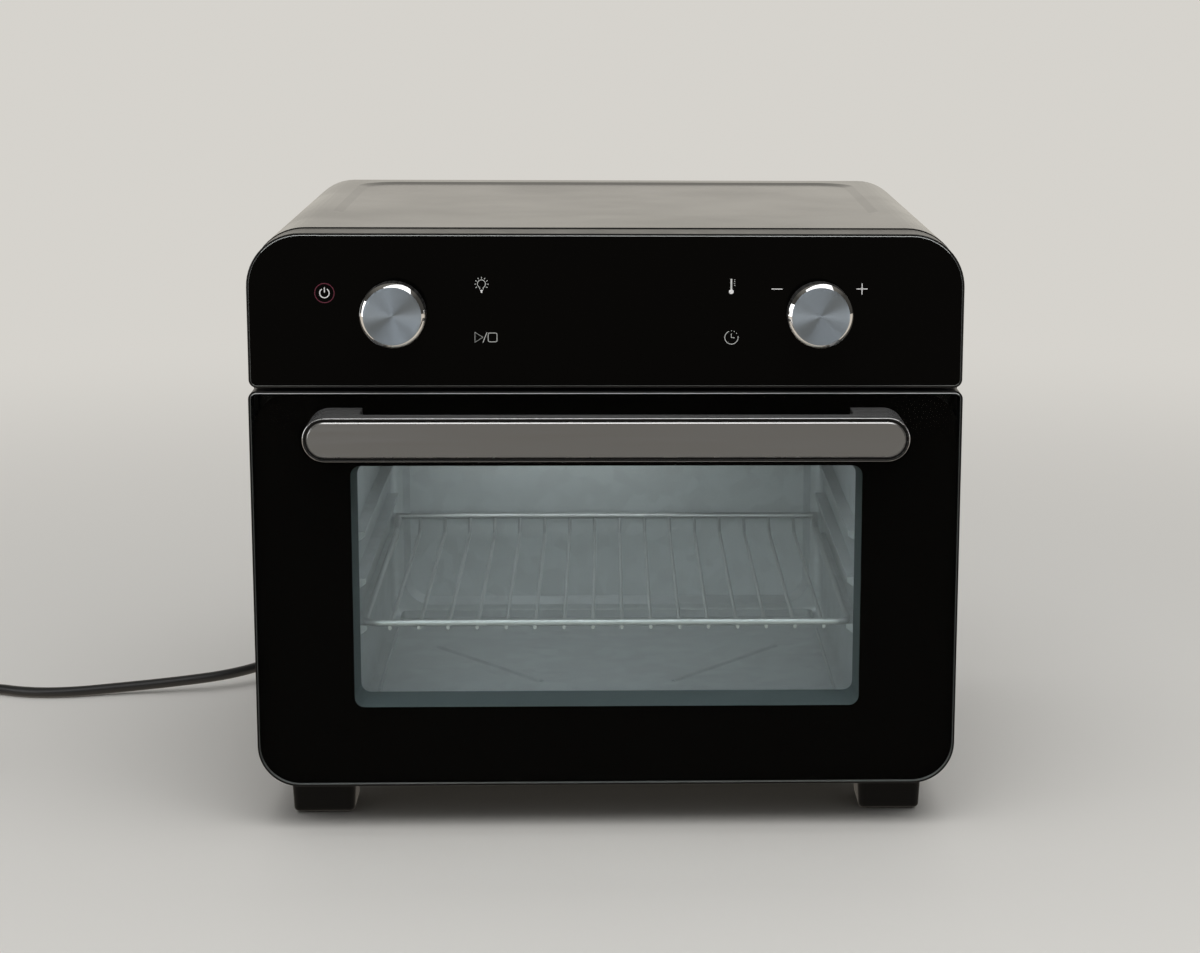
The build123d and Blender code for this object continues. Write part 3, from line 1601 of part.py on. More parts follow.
parts["plug_pins"] = make_plug_pins()

os.makedirs("parts", exist_ok=True)
for part_name, solid in parts.items():
    export_step(solid, "parts/" + part_name + ".step")
print(len(parts), "nodes")
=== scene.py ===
import json
import math

import bmesh
import bpy
from mathutils import Matrix, Vector


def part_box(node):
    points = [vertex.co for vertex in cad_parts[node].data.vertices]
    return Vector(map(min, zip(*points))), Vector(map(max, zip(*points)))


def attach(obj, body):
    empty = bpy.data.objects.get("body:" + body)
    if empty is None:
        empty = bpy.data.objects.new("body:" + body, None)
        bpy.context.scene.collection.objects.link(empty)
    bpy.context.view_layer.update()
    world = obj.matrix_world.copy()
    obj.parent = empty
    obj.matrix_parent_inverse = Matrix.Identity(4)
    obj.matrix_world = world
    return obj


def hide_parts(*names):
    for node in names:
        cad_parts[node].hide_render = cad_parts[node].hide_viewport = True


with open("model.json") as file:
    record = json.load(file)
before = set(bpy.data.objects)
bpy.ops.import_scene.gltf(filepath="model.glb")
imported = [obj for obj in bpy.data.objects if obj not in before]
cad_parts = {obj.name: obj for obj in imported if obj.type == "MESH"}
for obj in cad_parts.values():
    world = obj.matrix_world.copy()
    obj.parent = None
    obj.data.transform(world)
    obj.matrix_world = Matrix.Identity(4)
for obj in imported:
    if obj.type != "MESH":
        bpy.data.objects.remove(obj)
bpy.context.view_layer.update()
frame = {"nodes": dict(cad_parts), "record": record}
nodes = frame["nodes"]
record = frame["record"]
MM = 0.001

# Faces and places read from the frame, in metres
panel_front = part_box("control_glass")[0].y
door_low, door_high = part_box("door_outer_glass")
door_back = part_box("door_frame")[1].y
door_glass_back = door_high.y

# The photograph's frame, with one camera fitted to it
image_width = 1200
image_height = 953
focal_pixels = 2592.53
sensor_width = 36.0
principal_point = (704.14, 442.18)
camera_place = (-0.00043, -1.7012, 0.54089)
camera_yaw = 0.0383
camera_pitch = 0.1905
camera_roll = 0.0061


def make_camera():
    """Camera at the photograph's viewing angle"""
    data = bpy.data.cameras.new("view_of_the_photograph")
    data.sensor_fit = "HORIZONTAL"
    data.sensor_width = sensor_width
    data.lens = focal_pixels / image_width * sensor_width
    data.shift_x = (image_width / 2 - principal_point[0]) / image_width
    data.shift_y = (principal_point[1] - image_height / 2) / image_width
    data.clip_start = 0.01
    camera = bpy.data.objects.new("view_of_the_photograph", data)
    turn = Matrix.Rotation(camera_yaw, 3, "Z")
    tip = Matrix.Rotation(camera_pitch, 3, "X")
    lean = Matrix.Rotation(camera_roll, 3, "Y")
    axes = lean @ tip @ turn
    right, forward, up = axes.row
    rotation = Matrix((right, up, -forward)).transposed()
    camera.matrix_world = Matrix.Translation(camera_place) @ rotation.to_4x4()
    bpy.context.scene.collection.objects.link(camera)
    bpy.context.scene.camera = camera


def new_material(name):
    material = bpy.data.materials.new(name)
    material.use_nodes = True
    tree = material.node_tree
    return material, tree, tree.nodes["Principled BSDF"]


def settle(shader, **values):
    """Sets sockets of a shader by name, with _ for a space"""
    for name, value in values.items():
        shader.inputs[name.replace("_", " ")].default_value = value


def grey(level, warmth=0.0):
    """Grey with a little more red and less blue where warmth is above zero"""
    return (level * (1 + warmth), level, level * (1 - warmth), 1.0)


def pattern(tree, kind, scale, stretch=(1, 1, 1), centre=(0, 0, 0), **values):
    """Texture on Object coordinates, in metres, stretched and centred on a piece"""
    place = tree.nodes.new("ShaderNodeTexCoord")
    mapping = tree.nodes.new("ShaderNodeMapping")
    mapping.inputs["Scale"].default_value = stretch
    mapping.inputs["Location"].default_value = [-c * s for c, s in zip(centre, stretch)]
    texture = tree.nodes.new(kind)
    texture.inputs["Scale"].default_value = scale
    for name, value in values.items():
        texture.inputs[name].default_value = value
    tree.links.new(place.outputs["Object"], mapping.inputs["Vector"])
    tree.links.new(mapping.outputs["Vector"], texture.inputs["Vector"])
    return texture


def ranged(tree, source, low, high, start=0.0, stop=1.0):
    """Value that runs from low to high while the source runs from start to stop"""
    node = tree.nodes.new("ShaderNodeMapRange")
    node.inputs["From Min"].default_value = start
    node.inputs["From Max"].default_value = stop
    node.inputs["To Min"].default_value = low
    node.inputs["To Max"].default_value = high
    tree.links.new(source, node.inputs["Value"])
    return node.outputs["Result"]


# Sockets of a Mix node in its colour mode
mix_factor = 0
mix_first = 6
mix_second = 7
mix_result = 2


def blended(tree, factor, first, second):
    """Colour between two colours"""
    node = tree.nodes.new("ShaderNodeMix")
    node.data_type = "RGBA"
    tree.links.new(factor, node.inputs[mix_factor])
    node.inputs[mix_first].default_value = first
    node.inputs[mix_second].default_value = second
    return node.outputs[mix_result]


def mixed(tree, factor, first, second):
    """Shader between two shaders"""
    node = tree.nodes.new("ShaderNodeMixShader")
    for source, socket in zip((factor, first, second), node.inputs):
        tree.links.new(source, socket)
    return node.outputs[0]


def worked_out(tree, operation, first, second):
    """Value worked out from two values"""
    node = tree.nodes.new("ShaderNodeMath")
    node.operation = operation
    tree.links.new(first, node.inputs[0])
    tree.links.new(second, node.inputs[1])
    return node.outputs[0]


def relief(tree, shader, height, strength, depth):
    """Bump of a given depth in metres"""
    node = tree.nodes.new("ShaderNodeBump")
    node.inputs["Strength"].default_value = strength
    node.inputs["Distance"].default_value = depth
    tree.links.new(height, node.inputs["Height"])
    tree.links.new(node.outputs["Normal"], shader.inputs["Normal"])


def enamel(name, level):
    """Glossy stove enamel: slow clouding of the gloss over a fine orange peel"""
    material, tree, shader = new_material(name)
    settle(shader, Base_Color=grey(level), IOR=1.5)
    clouds = pattern(tree, "ShaderNodeTexNoise", 9.0, Detail=3.0)
    tree.links.new(ranged(tree, clouds.outputs["Fac"], 0.12, 0.2, 0.3, 0.7), shader.inputs["Roughness"])
    peel = pattern(tree, "ShaderNodeTexNoise", 420.0, Detail=2.0)
    relief(tree, shader, peel.outputs["Fac"], 0.05, 0.0002)
    return material


def moulded(name, level, roughness, grain=1500.0, depth=0.00005, specular=0.5):
    """Moulded plastic with a spark-eroded grain and slightly uneven gloss"""
    material, tree, shader = new_material(name)
    settle(shader, Specular_IOR_Level=specular)
    mottle = pattern(tree, "ShaderNodeTexNoise", 60.0, Detail=4.0)
    colour = blended(tree, mottle.outputs["Fac"], grey(level * 0.8), grey(level * 1.2))
    tree.links.new(colour, shader.inputs["Base Color"])
    gloss = ranged(tree, mottle.outputs["Fac"], roughness - 0.06, roughness + 0.06)
    tree.links.new(gloss, shader.inputs["Roughness"])
    pits = pattern(tree, "ShaderNodeTexNoise", grain, Detail=2.0)
    relief(tree, shader, pits.outputs["Fac"], 0.35, depth)
    return material


def zinc_coated(name, level, roughness, metallic=1.0):
    """Zinc-coated sheet with its faint crystal flowers"""
    material, tree, shader = new_material(name)
    settle(shader, Metallic=metallic)
    flowers = pattern(tree, "ShaderNodeTexVoronoi", 95.0)
    clouds = pattern(tree, "ShaderNodeTexNoise", 16.0, Detail=4.0)
    spread = tree.nodes.new("ShaderNodeSeparateColor")
    tree.links.new(flowers.outputs["Color"], spread.inputs[0])
    shade = blended(tree, spread.outputs["Red"], grey(level * 0.93, -0.02), grey(level * 1.05, -0.03))
    tree.links.new(shade, shader.inputs["Base Color"])
    gloss = ranged(tree, clouds.outputs["Fac"], roughness - 0.07, roughness + 0.07, 0.25, 0.75)
    tree.links.new(gloss, shader.inputs["Roughness"])
    relief(tree, shader, spread.outputs["Green"], 0.04, 0.0003)
    return material


def brushed(name, colour, roughness, stretch, spread=0.05, metallic=1.0):
    """Metal with fine brushing along the axis whose stretch is small"""
    material, tree, shader = new_material(name)
    settle(shader, Metallic=metallic)
    lines = pattern(tree, "ShaderNodeTexNoise", 500.0, stretch=stretch, Detail=3.0)
    darker = [c * (1 - spread) for c in colour[:3]] + [1.0]
    lighter = [min(1.0, c * (1 + spread)) for c in colour[:3]] + [1.0]
    tree.links.new(blended(tree, lines.outputs["Fac"], darker, lighter), shader.inputs["Base Color"])
    gloss = ranged(tree, lines.outputs["Fac"], roughness - 0.05, roughness + 0.05, 0.3, 0.7)
    tree.links.new(gloss, shader.inputs["Roughness"])
    relief(tree, shader, lines.outputs["Fac"], 0.03, 0.0001)
    return material


def clear_glass(name, tint, roughness=0.0, ior=1.07, haze=0.0):
    """Thin sheet glass: a low index keeps its reflection as faint as coated glass has it"""
    material, tree, shader = new_material(name)
    settle(shader, Base_Color=tint, IOR=ior, Transmission_Weight=1.0 - haze)
    smears = pattern(tree, "ShaderNodeTexNoise", 12.0, Detail=3.0)
    gloss = ranged(tree, smears.outputs["Fac"], roughness, roughness + 0.02, 0.45, 0.8)
    tree.links.new(gloss, shader.inputs["Roughness"])
    return material


def printed_glass(name, level, specular):
    """Glass printed black from behind, seen as one deep black surface"""
    material, tree, shader = new_material(name)
    settle(shader, Base_Color=grey(level, 0.12), Specular_IOR_Level=specular)
    smears = pattern(tree, "ShaderNodeTexNoise", 7.0, Detail=3.0)
    tree.links.new(ranged(tree, smears.outputs["Fac"], 0.03, 0.08, 0.3, 0.8), shader.inputs["Roughness"])
    return material


def ground_edge(name, level):
    """Fine-ground edge of a glass panel, lighter than its face, at a level of painted light that each edge
    gets by the way it faces
    """
    material, tree, shader = new_material(name)
    grain = pattern(tree, "ShaderNodeTexNoise", 300.0, Detail=3.0)
    darker = (level * 0.84, level * 0.88, level * 0.86, 1)
    lighter = (level * 1.12, level * 1.16, level * 1.14, 1)
    colour = blended(tree, grain.outputs["Fac"], darker, lighter)
    tree.links.new(colour, shader.inputs["Base Color"])
    settle(shader, Roughness=0.3)
    return material


def rubbery(name, level, roughness, grain):
    """Soft rubber with a dusty bloom"""
    material, tree, shader = new_material(name)
    bloom = pattern(tree, "ShaderNodeTexNoise", 30.0, Detail=5.0)
    shade = blended(tree, bloom.outputs["Fac"], grey(level * 0.75), grey(level * 1.3))
    tree.links.new(shade, shader.inputs["Base Color"])
    gloss = ranged(tree, bloom.outputs["Fac"], roughness - 0.08, roughness + 0.08)
    tree.links.new(gloss, shader.inputs["Roughness"])
    pores = pattern(tree, "ShaderNodeTexNoise", grain, Detail=2.0)
    relief(tree, shader, pores.outputs["Fac"], 0.25, 0.0001)
    return material


def circuit_green(name):
    """Solder resist over copper tracks"""
    material, tree, shader = new_material(name)
    settle(shader, Roughness=0.35)
    tracks = pattern(tree, "ShaderNodeTexBrick", 60.0, stretch=(1, 1, 2))
    tracks.inputs["Color1"].default_value = (0.02, 0.13, 0.06, 1)
    tracks.inputs["Color2"].default_value = (0.03, 0.16, 0.08, 1)
    tracks.inputs["Mortar"].default_value = (0.05, 0.22, 0.12, 1)
    tree.links.new(tracks.outputs["Color"], shader.inputs["Base Color"])
    relief(tree, shader, tracks.outputs["Fac"], 0.2, 0.0001)
    return material


def bright_plated(name, level, roughness, warmth=0.0):
    """Bright plating: clean mirror with slow waves"""
    material, tree, shader = new_material(name)
    settle(shader, Metallic=1.0)
    waves = pattern(tree, "ShaderNodeTexNoise", 90.0, Detail=2.0)
    shade = blended(tree, waves.outputs["Fac"], grey(level * 0.92, warmth), grey(level * 1.06, warmth))
    tree.links.new(shade, shader.inputs["Base Color"])
    gloss = ranged(tree, waves.outputs["Fac"], roughness, roughness * 1.4, 0.3, 0.7)
    tree.links.new(gloss, shader.inputs["Roughness"])
    return material


# One finish for each slot of the record
window_tint = (0.91, 0.96, 0.965, 1.0)
along_x = (0.02, 1, 1)
along_y = (1, 0.02, 1)
along_z = (1, 1, 0.1)
all_ways = (1, 1, 1)
finishes = {
    "wrap_enamel": enamel("black_enamel", level=0.012),
    "zinc_sheet": zinc_coated("zinc_sheet_steel", level=0.55, roughness=0.38),
    "liner_steel": zinc_coated("aluminised_liner_steel", level=0.45, roughness=0.46, metallic=0.65),
    "seal_silicone": rubbery("dark_silicone", level=0.04, roughness=0.55, grain=900.0),
    "bezel_plastic": moulded("black_satin_plastic", level=0.006, roughness=0.3, specular=0.26),
    "control_glass": printed_glass("black_printed_glass", level=0.0012, specular=0.04),
    "door_glass": clear_glass("door_window_glass", window_tint),
    "inner_glass": clear_glass("inner_window_glass", window_tint, haze=0.05),
    "circuit_board": circuit_green("solder_resist"),
    "display": printed_glass("dark_display", level=0.006, specular=0.3),
    "white_plastic": moulded("ceramic_white", level=0.68, roughness=0.5, grain=900.0),
    "heater_sheath": brushed("oxidised_heater_sheath", (0.2, 0.19, 0.18, 1), 0.45, all_ways, spread=0.25),
    "motor_steel": brushed("plain_motor_steel", (0.42, 0.42, 0.43, 1), 0.35, along_z),
    "lamp_glass": clear_glass("lamp_glass", (0.95, 0.96, 0.95, 1.0), roughness=0.05, ior=1.3),
    "foot_plastic": moulded(
        "matt_black_plastic", level=0.003, roughness=0.5, grain=1100.0, depth=0.00008, specular=0.12
    ),
    "pad_rubber": rubbery("pad_rubber", level=0.02, roughness=0.8, grain=700.0),
    "screw_steel": bright_plated("zinc_plated_screw", level=0.62, roughness=0.22),
    "dark_screw": moulded("blackened_screw", level=0.02, roughness=0.35, depth=0.00004),
    "cord_jacket": rubbery("black_cord_jacket", level=0.012, roughness=0.42, grain=600.0),
    "pin_nickel": bright_plated("nickel_pins", level=0.7, roughness=0.12, warmth=0.04),
    "knob_aluminium": brushed("brushed_knob_side", (0.62, 0.61, 0.6, 1), 0.3, along_y),
    "handle_aluminium": brushed("anodised_handle_bar", (0.3, 0.3, 0.3, 1), 0.26, along_x, metallic=0.7),
    "handle_face": brushed("satin_handle_face", (0.238, 0.244, 0.25, 1), 0.42, along_x, spread=0.04),
    "rack_chrome": bright_plated("bright_rack_wire", level=0.4, roughness=0.3),
    "tray_steel": zinc_coated("aluminised_tray_steel", level=0.36, roughness=0.44, metallic=0.65),
}

# Nodes with a finish of their own; the darkened steel of the base pan and of the fan guard is painted shade
own_finishes = {
    # Base pan darkened as painted shade under the oven
    "base_pan": zinc_coated("dull_zinc_pan", level=0.06, roughness=0.55),
    # Fan guard's steel darkened as painted shade against the cavity lamps' light
    "fan_guard": zinc_coated("heat_darkened_steel", level=0.07, roughness=0.5, metallic=0.65),
    "door_frame": moulded("door_frame_plastic", level=0.005, roughness=0.38, specular=0.15),
}

# Clear pieces that cast no shadow, so that light gets through them
shadowless_nodes = ("door_outer_glass", "door_inner_glass", "lamp_cover", "lamp_bulb")

# Painted highlight and shade on the ground edges of the front panes: lightness of upper, lower and side edge
pane_edge_painted_light_levels = {
    "control_glass": (0.56, 0.38, 0.12),
    "door_outer_glass": (0.68, 0.12, 0.12),
}

# Limits on the parts of a face's normal
front_facing = 0.95
level_edge_facing = 0.5
bevel_facing = 0.2
underside_facing = 0.3
flat_facing = 0.96


def dress_nodes():
    """Every CAD node gets the finish of its slot, or its own"""
    for row in record["subparts"]:
        name = row["node"]
        mesh = nodes[name].data
        mesh.materials.clear()
        mesh.materials.append(own_finishes.get(name, finishes[row["material_slot"]]))
    for name in shadowless_nodes:
        nodes[name].visible_shadow = False


def dress_pane_edges():
    """Ground edges round the black faces of the two front panes, as lit and shaded copies of one finish: a
    painted highlight on the upper edge, painted shade on the others
    """
    for name, (upper_painted_level, lower_painted_level, side_painted_level) in pane_edge_painted_light_levels.items():
        mesh = nodes[name].data
        mesh.materials.append(ground_edge("ground_upper_edge_" + name, upper_painted_level))
        mesh.materials.append(ground_edge("ground_lower_edge_" + name, lower_painted_level))
        mesh.materials.append(ground_edge("ground_side_edge_" + name, side_painted_level))
        # Each edge gets the copy whose painted light suits the way it faces: upward edges a painted
        # highlight, sideways ones painted shade
        for face in mesh.polygons:
            if abs(face.normal.y) >= front_facing:
                continue
            if face.normal.z > level_edge_facing:
                face.material_index = 1
            elif face.normal.z < -level_edge_facing:
                face.material_index = 2
            else:
                face.material_index = 3


def dress_handle():
    """Diamond-cut edges on the bar and its inlay; the bar's front ring is painted dark as painted shade of
    the groove between them, and its underside keeps the plain finish as painted shade
    """
    polished = bright_plated("diamond_cut_edge", level=0.6, roughness=0.22)
    painted_shade_groove = moulded("dark_handle_groove", level=0.012, roughness=0.4, depth=0.00004, specular=0.2)
    inlay = nodes["handle_face"].data
    inlay.materials.append(polished)
    for face in inlay.polygons:
        if abs(face.normal.y) < front_facing:
            face.material_index = 1
    bar = nodes["handle_bar"].data
    bar.materials.append(polished)
    bar.materials.append(painted_shade_groove)
    # The front ring's dark finish is painted shade of the groove; the polished edge stops short of the
    # underside, which stays darker as painted shade
    for face in bar.polygons:
        if face.normal.y <= -front_facing:
            face.material_index = 2
        elif face.normal.y < -bevel_facing and face.normal.z > -underside_facing:
            face.material_index = 1


def link(name, mesh, body, slot, *materials):
    """New piece from a mesh whose place is already in its points"""
    piece = bpy.data.objects.new(name, mesh)
    bpy.context.scene.collection.objects.link(piece)
    # Clearing an empty list would still reset the faces' material numbers
    if mesh.materials:
        mesh.materials.clear()
    for material in materials:
        mesh.materials.append(material)
    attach(piece, body)
    return piece


def baked(source):
    """Plain mesh of an object with its modifiers applied; the object itself goes"""
    depsgraph = bpy.context.evaluated_depsgraph_get()
    mesh = bpy.data.meshes.new_from_object(source.evaluated_get(depsgraph))
    bpy.data.objects.remove(source)
    return mesh


def smooth(mesh, angle=30.0):
    """Round faces shade smooth, and edges over the angle stay crisp"""
    mesh.polygons.foreach_set("use_smooth", [True] * len(mesh.polygons))
    mesh.set_sharp_from_angle(angle=math.radians(angle))


merge_distance = 1e-6


def merged_copy(name):
    """Copy of a CAD node's mesh with its loose triangles joined"""
    mesh_data = bmesh.new()
    mesh_data.from_mesh(nodes[name].data)
    bmesh.ops.remove_doubles(mesh_data, verts=mesh_data.verts, dist=merge_distance)
    return mesh_data


def plain_mesh(name, mesh_data):
    """Mesh of a bmesh, which goes"""
    mesh = bpy.data.meshes.new(name)
    mesh_data.to_mesh(mesh)
    mesh_data.free()
    return mesh


# Pressing in the top of the wrap: lengths in millimetres, angle in degrees
pressing_height = 1.6
pressing_depth = 1.2
pressing_reach = 3.0
wrap_sheet = 1.0
wrap_crisp_angle = 12.0


def make_wrap():
    """The wrap again with the pressing of its top sunk, as its dark rear edge in the photograph has it"""
    mesh_data = merged_copy("cabinet_wrap")
    mesh_data.normal_update()
    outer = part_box("cabinet_wrap")[1].z - pressing_height * MM
    inner = outer - wrap_sheet * MM
    share = pressing_depth / pressing_height
    for vertex in mesh_data.verts:
        level = outer if vertex.normal.z > 0 else inner
        if vertex.co.z > level + merge_distance:
            vertex.co.z = level - (vertex.co.z - level) * share
    mesh = plain_mesh("wrap", mesh_data)
    wrap = link("wrap", mesh, "cabinet", "wrap_enamel", finishes["wrap_enamel"])
    smooth(mesh, wrap_crisp_angle)
    for face in mesh.polygons:
        on_top = face.center.z > outer - pressing_reach * MM
        face.use_smooth = not (on_top and abs(face.normal.z) > flat_facing)
    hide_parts("cabinet_wrap")


# Mains lead: the route's points, in millimetres, as the part's source has them
cord_diameter = 7.3
cord_axis = 3.75
lead_start = (-150.0, 199.5, 58.0)
coil_x = -505.0
coil_y = 95.0
coil_radius = 46.0
coil_step = 4.7
coil_half_turns = 5
points_per_half_turn = 8
layer_rise = 7.8
plug_height = 18.6


def lead_points():
    """Out of the rear panel, round to the left and along the table to the coil"""
    x, y, z = lead_start
    return [
        (x, y, z), (x, y + 26, z), (x - 12, y + 51.5, z - 4), (x - 36, y + 63.5, z - 12),
        (x - 62, y + 56.5, z - 22), (x - 78, y + 32.5, z - 32), (x - 86, y - 0.5, z - 40),
        (x - 101, y - 29.5, z - 45.5), (x - 128, y - 49.5, z - 48), (x - 164, y - 58.5, z - 50.5),
        (x - 204, y - 63.5, z - 53.2), (x - 240, y - 72, cord_axis), (x - 270, y - 72, cord_axis),
        (x - 296, y - 60.8, cord_axis), (x - 324, coil_y + coil_radius, cord_axis),
        (coil_x + cord_diameter, coil_y + coil_radius, cord_axis),
    ]


def coil_points():
    """Half turns that spiral in on the table, climb one layer and spiral out again"""
    climb = coil_half_turns // 2
    crossings = []
    for k in range(coil_half_turns + 1):
        inward = min(k, climb) - max(k - climb - 1, 0)
        reach = coil_radius - inward * coil_step
        side = 1 if k % 2 == 0 else -1
        layer = 1 if k > climb else 0
        crossings.append(Vector((side * reach, 0, cord_axis + layer * layer_rise)))
    points = []
    for k, (start, end) in enumerate(zip(crossings, crossings[1:])):
        middle = (start + end) / 2
        bulge = (end - start).length / 2 * (1 if k % 2 == 0 else -1)
        for step in range(points_per_half_turn):
            angle = math.pi * step / points_per_half_turn
            local = middle + (start - middle) * math.cos(angle) + Vector((0, bulge * math.sin(angle), 0))
            points.append((coil_x - local.y, coil_y + local.x, local.z))
    last = crossings[-1]
    points.append((coil_x - last.y, coil_y + last.x, last.z))
    return points


def tail_points():
    """Short end from the coil's upper layer down into the plug"""
    z = cord_axis + layer_rise
    y = coil_y - coil_radius
    return [
        (coil_x + cord_diameter, y, z), (coil_x + 28, y, z), (coil_x + 47, y - 9, z + 1),
        (coil_x + 60, y - 27, z + 3), (coil_x + 62, y - 47, plug_height), (coil_x + 62, y - 66, plug_height),
    ]


def make_lead():
    """The whole free lead as one smooth line with a round section"""
    points = lead_points() + coil_points() + tail_points()
    curve = bpy.data.curves.new("mains_lead", "CURVE")
    curve.dimensions = "3D"
    curve.bevel_depth = cord_diameter / 2 * MM
    curve.bevel_resolution = 6
    curve.resolution_u = 8
    curve.use_fill_caps = True
    spline = curve.splines.new("NURBS")
    spline.points.add(len(points) - 1)
    for point, place in zip(spline.points, points):
        point.co = (*[c * MM for c in place], 1.0)
    spline.order_u = 3
    spline.use_endpoint_u = True
    lead = bpy.data.objects.new("mains_lead", curve)
    bpy.context.scene.collection.objects.link(lead)
    curve.materials.append(finishes["cord_jacket"])
    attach(lead, "cabinet")
    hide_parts("cord_lead", "cord_coil", "cord_tail")


def outline(width, low, high, radius, corner_steps=8):
    """Rounded rectangle in the XZ plane, round from its lower left corner, in metres"""
    corners = (
        (-width / 2 + radius, low + radius, 180), (width / 2 - radius, low + radius, 270),
        (width / 2 - radius, high - radius, 0), (-width / 2 + radius, high - radius, 90),
    )
    points = []
    for x, z, start in corners:
        for step in range(corner_steps + 1):
            angle = math.radians(start + 90 * step / corner_steps)
            points.append((x + radius * math.cos(angle), z + radius * math.sin(angle)))
    return points


def ring_between(inner, front_inner, outer, front_outer, thickness):
    """Closed band between two outlines with as many points, at their own depths"""
    mesh_data = bmesh.new()
    loops = []
    for points, y in (
        (outer, front_outer), (inner, front_inner), (inner, front_inner + thickness),
        (outer, front_outer + thickness),
    ):
        loops.append([mesh_data.verts.new((x, y, z)) for x, z in points])
    count = len(outer)
    for first, second in zip(loops, loops[1:] + loops[:1]):
        for k in range(count):
            after = (k + 1) % count
            mesh_data.faces.new((first[k], first[after], second[after], second[k]))
    bmesh.ops.recalc_face_normals(mesh_data, faces=mesh_data.faces)
    return plain_mesh("ring", mesh_data)


# Door window, in millimetres: its reveal starts a gap behind the outer glass and ends before the frame's back
window_width = 310.4
window_low = 77.65
window_high = 229.0
window_radius = 6.0
print_thickness = 0.04
print_inset = 0.6
print_corner = 24.0
reveal_margin = 1.15
reveal_low = 77.55
reveal_gap = 0.05
reveal_end = 3.2
reveal_sheet = 0.1
reveal_draft_side = 4.0
reveal_draft_bottom = 5.0
reveal_draft_top = 4.4


def make_window_print():
    """Black print on the back of the door's outer glass, with the window left clear"""
    material, tree, shader = new_material("black_glass_print")
    settle(shader, Base_Color=grey(0.0015, 0.12), Roughness=0.6, Specular_IOR_Level=0.0)
    speckle = pattern(tree, "ShaderNodeTexNoise", 250.0, Detail=2.0)
    relief(tree, shader, speckle.outputs["Fac"], 0.05, 0.00005)
    inner = outline(window_width * MM, window_low * MM, window_high * MM, window_radius * MM)
    inset = print_inset * MM
    outer = outline(
        door_high.x - door_low.x - 2 * inset, door_low.z + inset, door_high.z - inset, print_corner * MM
    )
    y = door_glass_back - 2 * print_thickness * MM
    mesh = ring_between(inner, y, outer, y, print_thickness * MM)
    link("window_print", mesh, "door", "door_glass", material)


def make_window_reveal():
    """Grey lining of the tapering opening between the two panes"""
    material, tree, shader = new_material("window_reveal_grey")
    shade = pattern(tree, "ShaderNodeTexNoise", 25.0, Detail=3.0)
    colour = blended(tree, shade.outputs["Fac"], (0.045, 0.058, 0.06, 1), (0.06, 0.075, 0.078, 1))
    tree.links.new(colour, shader.inputs["Base Color"])
    settle(shader, Roughness=0.7, Specular_IOR_Level=0.1)
    front_y = door_glass_back + reveal_gap * MM
    rear_y = door_back - reveal_end * MM
    share = (rear_y - front_y) / (door_back - front_y)
    width = window_width * MM + 2 * reveal_margin * MM
    low = reveal_low * MM
    high = window_high * MM + reveal_margin * MM
    radius = window_radius * MM
    front = outline(width, low, high, radius)
    rear = outline(
        width - 2 * share * reveal_draft_side * MM, low + share * reveal_draft_bottom * MM,
        high - share * reveal_draft_top * MM, radius,
    )
    mesh = ring_between(rear, rear_y, front, front_y, reveal_sheet * MM)
    smooth(mesh)
    link("window_reveal", mesh, "door", "bezel_plastic", material)


# Signs on the control glass, in millimetres: each key by its X and its height above the table. The dashes of
# the clock are in degrees.
sign_front = 0.03
line_relief = 0.05
power_key = (-168.0, 334.7)
lamp_key = (-74.8, 340.3)
start_stop_key = (-72.4, 308.1)
thermometer_key = (74.2, 338.8)
clock_key = (74.5, 308.1)
minus_key = (101.6, 337.4)
plus_key = (152.6, 337.5)
power_radius = 2.8
power_ring_radius = 5.75
bulb_radius = 2.4
clock_radius = 4.0
clock_dashes = ((88, 94), (62, 69), (36, 44))
thermometer_ticks = (4.1, 3.0, 1.9, 0.8)
stop_side = 5.3
stop_corner = 0.9
stop_shift = 3.9
cross_reach = 3.3


def sign_ink(name, colour, glow=0.0):
    """Light ceramic ink with uneven cover, faintly lit from behind"""
    material, tree, shader = new_material(name)
    cover = pattern(tree, "ShaderNodeTexNoise", 900.0, Detail=2.0)
    thin = [c * 0.85 for c in colour[:3]] + [1.0]
    tree.links.new(blended(tree, cover.outputs["Fac"], thin, colour), shader.inputs["Base Color"])
    settle(shader, Roughness=0.5, Emission_Color=colour, Emission_Strength=glow)
    return material


def arc(x, z, radius, start, stop, steps=24):
    """Points round an arc, angles in degrees from +X towards +Z"""
    angles = [math.radians(start + (stop - start) * k / steps) for k in range(steps + 1)]
    return [(x + radius * math.cos(a), z + radius * math.sin(a)) for a in angles]


def line(*points):
    """Open stroke of a sign"""
    return points, False


def loop(points):
    """Closed stroke of a sign"""
    return points, True


def make_sign(name, key, width, ink, *strokes):
    """Flat raised lines on the control glass, drawn round the middle of a key"""
    curve = bpy.data.curves.new("strokes", "CURVE")
    curve.dimensions = "3D"
    curve.bevel_depth = width / 2 * MM
    curve.bevel_resolution = 2
    curve.use_fill_caps = True
    for points, closed in strokes:
        spline = curve.splines.new("POLY")
        spline.points.add(len(points) - 1)
        spline.use_cyclic_u = closed
        for point, (x, z) in zip(spline.points, points):
            point.co = ((key[0] + x) * MM, 0, (key[1] + z) * MM, 1)
    holder = bpy.data.objects.new("strokes", curve)
    bpy.context.scene.collection.objects.link(holder)
    mesh = baked(holder)
    for vertex in mesh.vertices:
        vertex.co.y = panel_front - sign_front * MM + vertex.co.y * line_relief * 2
    smooth(mesh)
    link("sign_" + name, mesh, "cabinet", "control_glass", ink)


